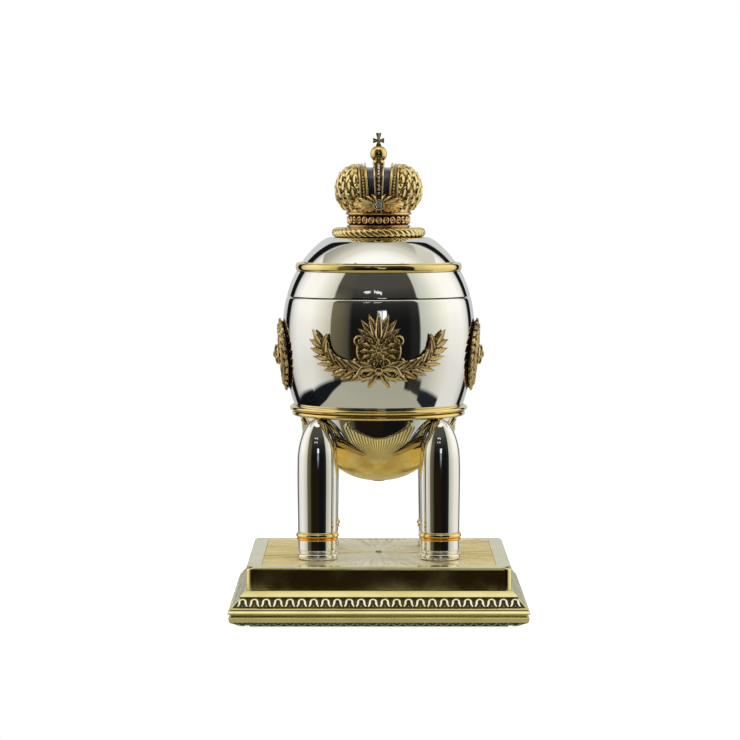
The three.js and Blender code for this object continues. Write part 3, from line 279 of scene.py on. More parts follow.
# Faint polishing marks and handling smears: a roughness, a fine height and a slow mask.
marks_group, marks_in, marks_out = group_of(
    "polishing_marks",
    {"Place": "Vector", "Scale": "Float", "Roughness": "Float", "Spread": "Float"},
    {"Roughness": "Float", "Height": "Float", "Mask": "Float"},
)
smears = mapped(marks_group, noise(marks_group, marks_in["Place"], marks_in["Scale"], 4), 0.42, 0.68)
fine_scale = maths(marks_group, "MULTIPLY", marks_in["Scale"], 14)
spread = maths(marks_group, "MULTIPLY", smears, marks_in["Spread"])
marks_group.links.new(maths(marks_group, "ADD", marks_in["Roughness"], spread), marks_out["Roughness"])
marks_group.links.new(noise(marks_group, marks_in["Place"], fine_scale, 2), marks_out["Height"])
marks_group.links.new(smears, marks_out["Mask"])


def polished(name, colour, worn, scale, roughness, spread, **values):
    """A material of two tones mixed by its polishing marks. Returns it with its tree, shader inputs and marks."""
    made, tree, sockets = finish_of(name, **values)
    polish = placed(tree, marks_group, {
        "Place": object_place(tree), "Scale": scale, "Roughness": roughness, "Spread": spread})
    tree.links.new(ramp(tree, polish["Mask"], [(0, colour), (1, worn)]), sockets["Base Color"])
    tree.links.new(polish["Roughness"], sockets["Roughness"])
    return made, tree, sockets, polish


felt_finish, felt_tree, felt_in = finish_of("green_felt", Roughness=0.95, Sheen_Weight=0.4)
felt_fibres = noise(felt_tree, object_place(felt_tree), 900, 5)
felt_colour = ramp(felt_tree, felt_fibres, [(0.3, (0.006, 0.022, 0.012)), (0.7, (0.02, 0.055, 0.032))])
felt_tree.links.new(felt_colour, felt_in["Base Color"])
bumped(felt_tree, felt_in, felt_fibres, 0.6, 0.0003)
bare_finish = polished("turned_steel", (0.58, 0.57, 0.55), (0.44, 0.43, 0.41), 160, 0.24, 0.2, Metallic=1)[0]

corners = ("front_left", "front_right", "back_left", "back_right")
hidden = ["base_cover", "calyx_nut", "crown_nut"]
hidden += [f"base_screw_{i}" for i in (1, 2, 3, 4)]
hidden += [f"{kind}_screw_{corner}" for kind in ("leg", "cup") for corner in corners]
for name, finish in [("felt_pad", felt_finish)] + [(name, bare_finish) for name in hidden]:
    nodes[name].material_slots[0].material = finish


# Plinth frame -----------------------------------------------------------------------------------
# A mitred frame of stamped brass, gilt in pale gold, with a ribbed band round its edge and a running
# arcade in relief on the slopes above and below it. The slab stands on it and hides its fixing.

MM = 0.001
SQUARE = 4


def braced(outline, closed):
    """Adds a point beside each blunt corner of a long straight run, so that the run still shades flat."""
    count = len(outline)
    made = []
    for i in range(count):
        here, after = Vector(outline[i]), Vector(outline[(i + 1) % count])
        made.append(tuple(here))
        run = after - here
        if run.length < 0.9 or (not closed and i == count - 1):
            continue
        for corner, other, inward in ((i, i - 1, run), ((i + 1) % count, (i + 2) % count, -run)):
            at_end = not closed and (corner in (0, count - 1))
            side = Vector(outline[other % count]) - Vector(outline[corner])
            if not at_end and side.length > 1e-4 and 0.12 < pi - side.angle(inward) < 0.72:
                made.append(tuple(Vector(outline[corner]) + inward.normalized() * 0.12))
    return made


def verts_of(geom):
    return [v for v in geom if isinstance(v, bmesh.types.BMVert)]


def normals_out(bm):
    """Turns all normals of a mesh outward."""
    bmesh.ops.recalc_face_normals(bm, faces=bm.faces)


def facing(bm, way):
    """Turns an open sheet to face a way."""
    bmesh.ops.recalc_face_normals(bm, faces=bm.faces)
    if sum((f.normal for f in bm.faces), Vector()).dot(Vector(way)) < 0:
        bmesh.ops.reverse_faces(bm, faces=bm.faces)


def turned(outline, steps, closed=True):
    """An outline of (radius, height) turned about Z. In four steps it is mitred, radius being half a side."""
    bm = bmesh.new()
    outline = braced(outline, closed)
    points = [bm.verts.new((radius, radius if steps == SQUARE else 0, height)) for radius, height in outline]
    edges = [bm.edges.new(pair) for pair in zip(points, points[1:])]
    if closed:
        edges.append(bm.edges.new((points[-1], points[0])))
    bmesh.ops.spin(bm, geom=points + edges, axis=(0, 0, 1), angle=2 * pi, steps=steps, use_merge=True)
    bmesh.ops.remove_doubles(bm, verts=bm.verts, dist=1e-4)
    normals_out(bm)
    return bm


def bead(half, low, high, proud, steps=6):
    """Points of a half-round moulding on a vertical face, from its lower edge to its upper."""
    angles = [pi * i / steps for i in range(steps + 1)]
    return [(half + proud * sin(a), low + (high - low) * (1 - cos(a)) / 2) for a in angles]


def roll_edge(half, low, high, proud, steps=12):
    """Points of a flat moulding with rounded shoulders on a vertical face, from its lower edge to its upper."""
    shares = [i / steps for i in range(steps + 1)]
    return [(half + proud * (1 - abs(2 * share - 1) ** 4), low + (high - low) * share) for share in shares]


def stamp(bm, part, places=(Matrix.Identity(4),)):
    """Adds a copy of a part to a mesh at each place, or as it lies."""
    for place in places:
        copy = part.copy()
        bmesh.ops.transform(copy, matrix=place, verts=copy.verts)
        if place.determinant() < 0:
            bmesh.ops.reverse_faces(copy, faces=copy.faces)
        mesh = bpy.data.meshes.new("stamp")
        copy.to_mesh(mesh)
        copy.free()
        bm.from_mesh(mesh)
        bpy.data.meshes.remove(mesh)


def drawn(path, sides, up=(0, 0, 1), flat=1.0, closed=False):
    """A bar drawn through a path of (x, y, z, radius). Up is the side that flat thins, or a function of the point."""
    bm = bmesh.new()
    points = [Vector(step[:3]) for step in path]
    places = []
    for i, step in enumerate(path):
        before = points[i - 1] if closed or i else points[0]
        after = points[(i + 1) % len(points)] if closed or i + 1 < len(points) else points[-1]
        along = (after - before).normalized()
        across = along.cross(up(points[i]) if callable(up) else Vector(up)).normalized()
        over = across.cross(along)
        turn = Matrix((across * step[3], over * step[3] * flat, along * step[3])).transposed().to_4x4()
        places.append(Matrix.Translation(points[i]) @ turn)
    bmesh.ops.create_circle(bm, segments=sides, radius=1, cap_ends=not closed, matrix=places[0])
    first = edges = list(bm.edges)
    for before, after in zip(places, places[1:]):
        made = bmesh.ops.extrude_edge_only(bm, edges=edges)["geom"]
        fresh = set(verts_of(made))
        edges = [e for e in made if isinstance(e, bmesh.types.BMEdge) and set(e.verts) <= fresh]
        bmesh.ops.transform(bm, matrix=after @ before.inverted(), verts=list(fresh))
    if closed:
        bmesh.ops.bridge_loops(bm, edges=first + edges)
    else:
        bmesh.ops.contextual_create(bm, geom=edges)
    normals_out(bm)
    return bm


def place_piece(bm, name, finish, body, replaced=(), crease=38):
    """Turns a mesh into a finished piece that rides on a body."""
    bmesh.ops.scale(bm, vec=(MM, MM, MM), verts=bm.verts)
    mesh = bpy.data.meshes.new(name)
    bm.to_mesh(mesh)
    bm.free()
    mesh.materials.append(finish)
    mesh.shade_smooth()
    mesh.set_sharp_from_angle(angle=radians(crease))
    piece = bpy.data.objects.new(name, mesh)
    scene.collection.objects.link(piece)
    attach(piece, body)
    if replaced:
        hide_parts(*replaced)
    return piece


# Painted shade in the hollows: an ambient occlusion measure lays a dark colour where a surface is
# closed in. It gives a colour and a mask of the hollows.
hollow_group, hollow_in, hollow_out = group_of(
    "painted_hollow_shade",
    {"Unshaded": "Color", "Dark": "Color", "Reach": "Float", "From": "Float", "To": "Float"},
    {"Color": "Color", "Mask": "Float"},
)
open_air = shader_node(hollow_group, "AmbientOcclusion", {"Distance": hollow_in["Reach"]}, samples=8)
closed_in = mapped(hollow_group, open_air.outputs["AO"], hollow_in["From"], hollow_in["To"], 1, 0)
hollow_group.links.new(blended(hollow_group, closed_in, hollow_in["Unshaded"], hollow_in["Dark"]), hollow_out["Color"])
hollow_group.links.new(closed_in, hollow_out["Mask"])


def gilt(name, colour, worn, dark, marks, hollows, ground=None):
    """Plated metal: two tones, painted shade in the hollows and polishing marks. A ground function masks more of the
    dark.
    """
    made, tree, sockets, polish = polished(name, colour, worn, *marks, Metallic=1)
    tone = sockets["Base Color"].links[0].from_socket
    reach, low, high = hollows
    # Painted shade: the dark colour is laid into the hollows by how closed in they are.
    hollow = placed(tree, hollow_group, {"Unshaded": tone, "Dark": (*dark, 1), "Reach": reach, "From": low, "To": high})
    tone = blended(tree, ground(tree), hollow["Color"], (*dark, 1)) if ground else hollow["Color"]
    tree.links.new(tone, sockets["Base Color"])
    dull = maths(tree, "MULTIPLY_ADD", hollow["Mask"], 0.35, polish["Roughness"])
    tree.links.new(dull, sockets["Roughness"])
    bumped(tree, sockets, polish["Height"], 0.08, 0.00002)
    return made


pale_gold = gilt("pale_gold", (0.92, 0.83, 0.40), (0.80, 0.70, 0.30), (0.045, 0.028, 0.006),
                 (70, 0.06, 0.09), (0.0007, 0.25, 0.7))

slab_half = 53.75
plinth_half = 61.0
rib_depth = 1.1
frieze_top = (56.4, 12.35)
groove_half = plinth_half - rib_depth
frame_outline = [
    (52.9, 0.8), (55.1, 0.8), (55.3, 0.95), (59.9, 2.45), (60.2, 2.62), (60.3, 2.9), (60.45, 3.3), (60.5, 3.8),
    (60.65, 4.0), (60.68, 4.15), (60.6, 4.3), (60.05, 4.75), (groove_half - 0.2, 4.95), (groove_half - 0.3, 5.4),
    (groove_half - 0.1, 5.75), (60.8, 5.95), (60.95, 6.05), (plinth_half, 6.2), (60.95, 6.35), (60.15, 7.3),
    (59.95, 7.42), (59.75, 7.5), (59.8, 7.6), (60.3, 7.68), (60.35, 7.8), (59.7, 8.42), (59.2, 8.5), (55.9, 11.85),
    (55.95, 12.0), (56.3, 12.15), frieze_top, (56.3, 12.55), (56.1, 12.75), (54.15, 14.55), (53.95, 14.7),
    (slab_half, 14.78), (48.75, 14.78), (48.75, 2.5), (52.9, 2.5),
]
place_piece(turned(frame_outline, SQUARE), "ribbed_frame", pale_gold, "stand", ["plinth_moulding"])

# The ground of both friezes is filled with dark lacquer.
lacquer = polished("dark_lacquer", (0.016, 0.009, 0.004), (0.05, 0.032, 0.012), 200, 0.35, 0.3, Metallic=0.3)[0]
ground = turned([(59.24, 8.56), (55.88, 12.0), (55.7, 11.9), (59.0, 8.4)], SQUARE)
stamp(ground, turned([(55.35, 0.9), (59.95, 2.4), (59.8, 2.5), (55.3, 1.1)], SQUARE))
place_piece(ground, "frieze_ground", lacquer, "stand")
# Painted highlight: the arches get a paler, brighter copy of the frame's gold, so they stand out lit.
lit_arch_gold = gilt("lit_arch_gold", (1.0, 0.96, 0.70), (0.95, 0.88, 0.55), (0.10, 0.06, 0.015),
                 (90, 0.16, 0.12), (0.0006, 0.1, 0.45))

# One arch of the arcade, drawn flat with its feet at zero, with a dart inside and a bar beside it
arch_pitch, arch_count = 4.78, 24
arch_half = [(0, 3.95, 0.58), (0.6, 3.8, 0.58), (1.05, 3.4, 0.55), (1.22, 2.8, 0.5), (1.28, 2.1, 0.46),
             (1.4, 1.4, 0.44), (1.65, 0.8, 0.42), (1.85, 0.35, 0.36)]
arch_path = [(-x, y, 0, r) for x, y, r in reversed(arch_half[1:])] + [(x, y, 0, r) for x, y, r in arch_half]
arch = drawn(arch_path, 6, up=(0, 0, 1), flat=0.7)
dart = drawn([(0, 0.3, 0, 0.3), (0, 0.7, 0, 0.22), (0, 1.2, 0, 0.05)], 5, up=(0, 0, 1))
bar = drawn([(arch_pitch / 2, y, -0.1, radius) for y, radius in ((2.0, 0.05), (2.8, 0.15), (3.5, 0.12))], 4)
stamp(arch, dart)
stamp(arch, bar)
arcade = bmesh.new()
# The foot of each slope, its way up and how much the arch is stretched to fill it
upper_slope = ((59.35, 8.62), (-3.35, 3.4), 1.0)
lower_slope = ((60.0, 2.32), (-4.6, -1.5), 0.98)
for (foot_half, foot_z), (inward, upward), stretch in (upper_slope, lower_slope):
    way = Vector((0, -inward, upward)).normalized()
    lie = Matrix((Vector((1, 0, 0)), way * stretch, Vector((1, 0, 0)).cross(way))).transposed().to_4x4()
    if upward < 0:
        lie = lie @ Matrix.Scale(-1, 4, (0, 0, 1))
    for side in range(4):
        for i in range(arch_count):
            x = (i - (arch_count - 1) / 2) * arch_pitch
            place = Matrix.Rotation(side * pi / 2, 4, "Z") @ Matrix.Translation((x, -foot_half, foot_z))
            stamp(arcade, arch, [place @ lie])
for side in range(4):
    corner = [(59.3, 59.3, 8.6, 0.45), (57.6, 57.6, 10.3, 0.4), (55.95, 55.95, 12.1, 0.35)]
    stamp(arcade, drawn(corner, 6), [Matrix.Rotation(side * pi / 2, 4, "Z")])
arch.free()
place_piece(arcade, "running_arcade", lit_arch_gold, "stand", crease=60)


# Slab -------------------------------------------------------------------------------------------
# A heavy pressed tray of brass, gilt and polished, with rounded edges and a plain border round
# its top. The legs are screwed up through it.

slab_bottom, slab_top, slab_bevel = 14.78, 24.36, 1.2
sunburst_half = 47.5
edge_round = [
    (slab_half - slab_bevel + slab_bevel * cos(a), slab_top - slab_bevel + slab_bevel * sin(a))
    for a in [pi / 2 * i / 5 for i in range(6)]
]
slab_outline = [
    (49.75, slab_bottom), (slab_half, slab_bottom), *edge_round,
    (sunburst_half + 0.35, slab_top), (sunburst_half + 0.1, slab_top - 0.25), (sunburst_half + 0.1, 23.56),
    (0, 23.56), (0, 21.36), (49.75, 21.36),
]
slab = turned(slab_outline, SQUARE, closed=False)
for axis in ((1, 0, 0), (0, 1, 0)):
    for side in (-1, 1):
        bmesh.ops.bisect_plane(slab, geom=slab.verts[:] + slab.edges[:] + slab.faces[:],
                               plane_co=Vector(axis) * side * (slab_half - 2.95), plane_no=axis)
mitres = [
    e for e in slab.edges
    if all(abs(abs(v.co.x) - abs(v.co.y)) < 0.01 and abs(v.co.x) > 52.4 for v in e.verts)
    and abs(e.verts[0].co.z - e.verts[1].co.z) > 0.01
]
bmesh.ops.bevel(slab, geom=mitres, offset=2.8, segments=8, profile=0.5, affect="EDGES", material=-1)
place_piece(slab, "rounded_slab", pale_gold, "stand", ["platform_slab"])


# Sunburst ---------------------------------------------------------------------------------------
# A square brass plate let into the slab, engraved with rays of uneven width from its middle and
# gilt. A small riveted rosette covers the middle.

ray_count = 240
plate = bmesh.new()
bmesh.ops.create_circle(plate, segments=ray_count, radius=1, cap_ends=True, cap_tris=True)
normals_out(plate)
for vert in plate.verts:
    if vert.co.length > 0.5:
        step = round(atan2(vert.co.y, vert.co.x) / (2 * pi / ray_count)) % ray_count
        swing = 0.45 * sin(step * 2.6) * sin(step * 0.7 + 1)
        angle = (step + swing * (step % (ray_count // 8) != 0)) * 2 * pi / ray_count
        reach = sunburst_half / max(abs(cos(angle)), abs(sin(angle)))
        depth = 0.03 + (0.26 + 0.10 * sin(step * 1.9)) * (step % 2)
        vert.co = (reach * cos(angle), reach * sin(angle), slab_top - depth)
    else:
        vert.co.z = slab_top - 0.02
rim = [e for e in plate.edges if e.is_boundary]
skirt = bmesh.ops.extrude_edge_only(plate, edges=rim)["geom"]
bmesh.ops.translate(plate, vec=(0, 0, -0.6), verts=verts_of(skirt))
bmesh.ops.holes_fill(plate, edges=[e for e in plate.edges if e.is_boundary])
normals_out(plate)

ray_finish, ray_tree, ray_in = finish_of("engraved_gold", Metallic=0.85)
ray_place = object_place(ray_tree)
ray_way = vectors(ray_tree, "NORMALIZE", vectors(ray_tree, "MULTIPLY", ray_place, (1, 1, 0))[0])[0]
ray_far = maths(ray_tree, "MULTIPLY", vectors(ray_tree, "LENGTH", ray_place)["Value"], 1.6)
ray_spot = vectors(ray_tree, "ADD", ray_way, shader_node(ray_tree, "CombineXYZ", {2: ray_far}).outputs[0])[0]
strokes = noise(ray_tree, ray_spot, 34, 6, Roughness=0.75)
ray_colour = ramp(ray_tree, strokes, [
    (0.36, (0.50, 0.38, 0.14)), (0.46, (0.80, 0.70, 0.40)), (0.6, (0.95, 0.89, 0.64)), (0.72, (0.76, 0.64, 0.32))])
# Painted reflection: the plate's colour turns deeper gold towards two sides.
ray_beside = maths(ray_tree, "ABSOLUTE", shader_node(ray_tree, "SeparateXYZ", {0: ray_place}).outputs[0])
ray_painted_reflection = mapped(ray_tree, ray_beside, 0.030, 0.036)
ray_colour = blended(ray_tree, ray_painted_reflection, ray_colour, (1.0, 0.87, 0.52, 1), "MULTIPLY")
ray_tree.links.new(ray_colour, ray_in["Base Color"])
ray_marks = placed(ray_tree, marks_group, {"Place": ray_place, "Scale": 60, "Roughness": 0.26, "Spread": 0.14})
ray_tree.links.new(ray_marks["Roughness"], ray_in["Roughness"])
bumped(ray_tree, ray_in, strokes, 0.6, 0.0003)
place_piece(plate, "engraved_plate", ray_finish, "stand", ["sunburst_plate"], crease=1)


def leaf(length, width, rise, thickness=0.4, along=6):
    """A pointed leaf along +X with a groove for its midrib and a raised edge on each side of it."""
    bm = bmesh.new()
    bmesh.ops.create_grid(bm, x_segments=along, y_segments=4, size=0.5)
    for vert in bm.verts:
        share, side = vert.co.x + 0.5, vert.co.y * 2
        half = width / 2 * sin(pi * share ** 0.75) ** 0.8 if 0 < share < 1 else 0.02
        crown = (0.55, 1.0, 0.0)[round(abs(side) * 2)]
        vert.co = (share * length, side * half, rise * crown * (0.45 + 0.55 * sin(pi * share ** 0.6)))
    bmesh.ops.remove_doubles(bm, verts=bm.verts, dist=0.01)
    facing(bm, (0, 0, 1))
    skin = bmesh.ops.extrude_face_region(bm, geom=list(bm.faces))["geom"]
    bmesh.ops.translate(bm, vec=(0, 0, thickness), verts=verts_of(skin))
    normals_out(bm)
    return bm


def spun(angle, out=0, lift=0, tilt=0):
    """A place at an angle round Z, moved out and up, and tilted up at its tip."""
    return (Matrix.Rotation(angle, 4, "Z") @ Matrix.Translation((out, 0, lift))
            @ Matrix.Rotation(-tilt, 4, "Y"))


rosette = turned([
    (0, 23.7), (0.75, 23.7), (0.75, slab_top), (1.0, slab_top + 0.05), (0.9, slab_top + 0.3), (0, slab_top + 0.35),
], 24, closed=False)
petal = leaf(1.25, 0.85, 0.22, 0.15)
stamp(rosette, petal, [spun(2 * pi * i / 8, 0.42, slab_top + 0.12, 0.12) for i in range(8)])
middle = turned([(radius, slab_top + rise) for radius, rise in (
    (0, 0.2), (0.5, 0.3), (0.42, 0.6), (0.2, 0.76), (0, 0.78))], 16, closed=False)
stamp(rosette, middle)
place_piece(rosette, "small_rosette", pale_gold, "stand", ["sunburst_rosette"])


# Legs -------------------------------------------------------------------------------------------
# Four turned steel legs, chromed and mirror polished, with a rimmed foot, a groove and a rounded
# nose that is cut to the curve of the cup. Screws through the slab hold them.

equator = 115.46
egg_radius, lower_semi, upper_semi, upper_power = 40.1, 60.0, 47.5, 2.3


def egg_at(z, inset=0):
    """Radius of the egg at a height."""
    semi = (upper_semi if z > equator else lower_semi) - inset
    power = upper_power if z > equator else 2
    return (egg_radius - inset) * sqrt(max(1 - min(abs(z - equator) / semi, 1) ** power, 0))


def egg_arc(low, high, inset, steps):
    """Outline of the egg between two heights, spaced evenly in angle."""
    def angle_at(z):
        semi = (upper_semi if z > equator else lower_semi) - inset
        return asin(max(-1, min(1, (z - equator) / semi)))
    points = []
    for i in range(steps + 1):
        angle = angle_at(low) + (angle_at(high) - angle_at(low)) * i / steps
        z = equator + ((upper_semi if angle > 0 else lower_semi) - inset) * sin(angle)
        points.append((egg_at(z, inset), z))
    return points


def mirror_metal(name, colour, dull, scale, roughness, spread):
    """Bright plated metal with the faintest smears."""
    return polished(name, colour, dull, scale, roughness, spread, Metallic=1)[0]


mirror_steel = mirror_metal("mirror_steel", (0.93, 0.925, 0.90), (0.88, 0.872, 0.84), 34, 0.025, 0.045)

leg_offset, leg_radius, leg_top = 25.2, 8.0, 82.16
nose_height, nose_flat = 18.0, 1.9
nose_rise = nose_height * sqrt(1 - (nose_flat / leg_radius) ** 2)
ring_low, ring_high = 32.36, 35.76
ring_gold = mirror_metal("ring_gold", (0.95, 0.62, 0.16), (0.88, 0.52, 0.10), 60, 0.05, 0.06)
ring_tree = ring_gold.node_tree
ring_height = shader_node(ring_tree, "SeparateXYZ", {0: object_place(ring_tree)}).outputs[2]
ring_rise = mapped(ring_tree, ring_height, ring_low * MM, ring_high * MM)
# Painted light: the ring's colour runs from deep orange at its foot to pale lemon at its top, as the light falls on it.
ring_painted_light = ramp(ring_tree, ring_rise, [
    (0, (0.93, 0.50, 0.07)), (0.4, (0.95, 0.58, 0.12)), (0.6, (0.98, 0.82, 0.38)), (1, (0.98, 0.86, 0.46))])
ring_tree.links.new(ring_painted_light, ring_tree.nodes["Principled BSDF"].inputs["Base Color"])
calyx_cover, calyx_edge = 1.4, 71.1
nose = []
for i in range(25):
    angle = asin(nose_rise / nose_height) * i / 24
    nose.append((8.3 * cos(angle) ** 1.15, leg_top - nose_rise + nose_height * sin(angle)))
leg_outline = [
    (0, slab_top), (7.8, slab_top), *roll_edge(7.85, slab_top + 0.05, 26.95, 0.6, 16), (7.7, 27.05), (7.7, 27.3),
    *bead(7.75, 27.35, 27.95, 0.25, 5), (7.85, 28.0), (8.0, 28.15), (8.05, 28.4), (8.05, ring_low - 0.1),
    (7.7, ring_low - 0.1), (7.7, ring_high + 0.1), (8.08, ring_high + 0.1), (8.14, 41), (8.22, 46), (8.3, 51),
    (8.36, 55), (8.38, 59), (8.36, 62), *nose[1:], (0, leg_top),
]
leg_ring = turned([
    (7.6, ring_low), *bead(8.1, ring_low, ring_low + 1.1, 0.5, 8),
    *roll_edge(8.2, ring_low + 1.15, ring_high - 0.4, 0.65, 16),
    (8.4, ring_high - 0.35), (8.5, ring_high - 0.15), (8.3, ring_high), (7.6, ring_high),
], 72)
for i, corner in enumerate(corners):
    x, y = (-1, 1)[i % 2] * leg_offset, (-1, 1)[i // 2] * leg_offset
    leg = turned(leg_outline, 80, closed=False)
    bmesh.ops.translate(leg, vec=(x, y, 0), verts=leg.verts)
    for vert in leg.verts:
        cover = calyx_cover if vert.co.z < calyx_edge else 0.25
        seat, from_axis = egg_at(vert.co.z, -cover), vert.co.xy.length
        if vert.co.z > 60 and from_axis < seat:
            vert.co.xy *= seat / from_axis
    place_piece(leg, f"polished_leg_{corner}", mirror_steel, "stand", [f"leg_{corner}"])
    ring = leg_ring.copy()
    bmesh.ops.translate(ring, vec=(x, y, 0), verts=ring.verts)
    place_piece(ring, f"gilt_ring_{corner}", ring_gold, "stand", [f"leg_ring_{corner}"])
leg_ring.free()


# Bowl -------------------------------------------------------------------------------------------
# The lower part of the egg: a spun steel cup and barrel, chromed and mirror polished, with a
# double gilt band soldered over the joint between them.

smooth = 192
wall = 1.6
seam, lid_bottom = 131.66, 132.01
band_low_z, band_high_z = 82.16, 86.56
cup_bottom = equator - lower_semi
cup = turned([
    *egg_arc(cup_bottom, band_low_z, 0, 28), *reversed(egg_arc(cup_bottom + wall, band_low_z, wall, 20)),
], smooth, closed=False)
cup_steel, cup_tree, cup_in, _ = polished(
    "cup_steel", (0.92, 0.915, 0.89), (0.86, 0.852, 0.82), 34, 0.03, 0.045, Metallic=1)
# The cup is drawn in steeply under the band, so it mirrors the dark opening there.
steep = vectors(cup_tree, "MULTIPLY", shader_node(cup_tree, "NewGeometry").outputs["Normal"], (1, 1, 0.12))[0]
cup_tree.links.new(vectors(cup_tree, "NORMALIZE", steep)[0], cup_in["Normal"])
place_piece(cup, "mirror_cup", cup_steel, "stand", ["cup_shell"])

barrel_outline = [
    *egg_arc(band_high_z, seam - 0.45, 0, 44), (egg_at(seam) - 0.05, seam - 0.22), (egg_at(seam) - 0.2, seam - 0.06),
    (egg_at(seam) - 0.45, seam), *reversed(egg_arc(band_high_z, seam, wall, 24)),
]
place_piece(turned(barrel_outline, smooth), "mirror_barrel", mirror_steel, "stand", ["barrel_shell"])

# Painted shade: the hollows of this gold are tinted deep orange, standing in for gold mirrored in gold.
band_gold = gilt("band_gold", (0.95, 0.76, 0.31), (0.86, 0.64, 0.22), (0.42, 0.17, 0.02),
                 (70, 0.05, 0.07), (0.0016, 0.25, 0.75))
# Painted shade: the rim goes near black over a long reach, where it stands closed in behind the lid.
rim_gold = gilt("rim_gold", (0.93, 0.70, 0.27), (0.84, 0.60, 0.20), (0.004, 0.002, 0.001),
                (70, 0.08, 0.08), (0.004, 0.35, 0.75))
band_half = egg_at(band_high_z)
band_split = band_low_z + (band_high_z - band_low_z) * 0.45
lower_band = turned([
    (band_half - 1.4, band_low_z), *bead(band_half, band_low_z, band_split, 1.0, 10),
    *bead(band_half, band_split, band_high_z, 1.95, 12)[1:], (band_half - 1.4, band_high_z),
], smooth)
place_piece(lower_band, "double_band", band_gold, "stand", ["lower_band"])


# Rim and lining of the bowl ---------------------------------------------------------------------
# A gilt ring presses into the mouth of the barrel and stands up inside the lid. Below it the bowl
# is lined with wine-red velvet glued over a card shell.

rim_radius = egg_at(seam + 2.3, wall) - 0.35
rim = turned([
    (rim_radius - 1.3, seam - 5.5), (egg_at(seam - 5.5, wall) - 0.25, seam - 5.5), (egg_at(seam, wall) - 0.1, seam),
    (rim_radius, seam + 0.05), (rim_radius, seam + 1.9), (rim_radius - 0.12, seam + 2.2),
    (rim_radius - 0.4, seam + 2.3),
    (rim_radius - 1.1, seam + 2.3), (rim_radius - 1.3, seam + 2.1),
], smooth)
place_piece(rim, "gilt_rim", rim_gold, "stand", ["rim_bezel"])

velvet, velvet_tree, velvet_in = finish_of("wine_velvet", Roughness=0.9, Sheen_Weight=0.7, Sheen_Roughness=0.35)
velvet_in["Sheen Tint"].default_value = (0.75, 0.30, 0.34, 1)
velvet_place = object_place(velvet_tree)
pile = noise(velvet_tree, velvet_place, 2200, 3)
brushed = noise(velvet_tree, velvet_place, 45, 5, Distortion=1.2)
nap = maths(velvet_tree, "MULTIPLY_ADD", pile, 0.35, maths(velvet_tree, "MULTIPLY", brushed, 0.75))
velvet_colour = ramp(velvet_tree, nap, [(0.35, (0.045, 0.004, 0.010)), (0.75, (0.16, 0.015, 0.032))])
velvet_tree.links.new(velvet_colour, velvet_in["Base Color"])
bumped(velvet_tree, velvet_in, nap, 0.7, 0.0002)

lining_foot, lining_top = 59.26, seam - 5.6
lining = turned([
    (0, lining_foot), *egg_arc(lining_foot + 0.3, lining_top - 0.6, 3.8, 30),
    (egg_at(lining_top, 4.1), lining_top - 0.1),
    (egg_at(lining_top, 4.7), lining_top), (egg_at(lining_top, 5.1), lining_top - 0.2),
    *reversed(egg_arc(lining_foot + 1.5, lining_top - 0.8, 5.3, 30)),
], 128, closed=False)
place_piece(lining, "velvet_bowl", velvet, "stand", ["bowl_lining"], crease=60)


# Calyx ------------------------------------------------------------------------------------------
# A thin gilt cap pressed over the foot of the cup, with a rolled edge and four fluted fans soldered
# on between the legs. One dome-headed bolt holds cap and cup together.

calyx_gap, calyx_thickness = 0.45, 0.7
fan_foot = (5.0, 14.6)
fan_dip, fan_end, legs_drop = 8.0, 20.5, 11.3
foot_angle = asin(fan_foot[0] / egg_at(band_low_z - fan_foot[1]))


def cap_edge(azimuth):
    """Height of the edge of the cap at an azimuth."""
    away = abs(azimuth - pi / 2 * round(azimuth / (pi / 2)))
    share = max(0, min(1, (away - foot_angle) / (pi / 4 - foot_angle)))
    return band_low_z - fan_foot[1] - (legs_drop - fan_foot[1]) * share


cap_steps = 24
cap_shell = turned([(2, i) for i in range(cap_steps + 1)] + [(1, i) for i in range(cap_steps, -1, -1)], 240)
for vert in cap_shell.verts:
    azimuth, share = atan2(vert.co.y, vert.co.x), vert.co.z / cap_steps
    offset = calyx_gap + (calyx_thickness if vert.co.xy.length > 1.5 else 0)
    radius, semi = egg_radius + offset, lower_semi + offset
    low = -acos(1.2 / radius)
    high = asin((cap_edge(azimuth) - equator) / semi)
    angle = low + (high - low) * share
    if offset > calyx_gap:
        semi -= 0.4 * max(0, 1 - share * 2.5) ** 2
    lip = 0.35 * max(0, share - 0.94) / 0.06 if offset > calyx_gap else 0
    flat = Vector((cos(azimuth), sin(azimuth))) * (radius * cos(angle) + lip)
    vert.co = (flat.x, flat.y, equator + semi * sin(angle))
normals_out(cap_shell)

flutes = 22
fan_sides = [(0.8, 13.3), (3.1, 14.9), (9.8, 11.6), (14.6, 5.4), (22.8, 0.4)]


def fan_half(drop):
    """Half the width of a fan at a drop below the band."""
    for (above, wide), (below, narrow) in zip(fan_sides, fan_sides[1:]):
        if drop <= below:
            break
    return wide + (narrow - wide) * (drop - above) / (below - above)


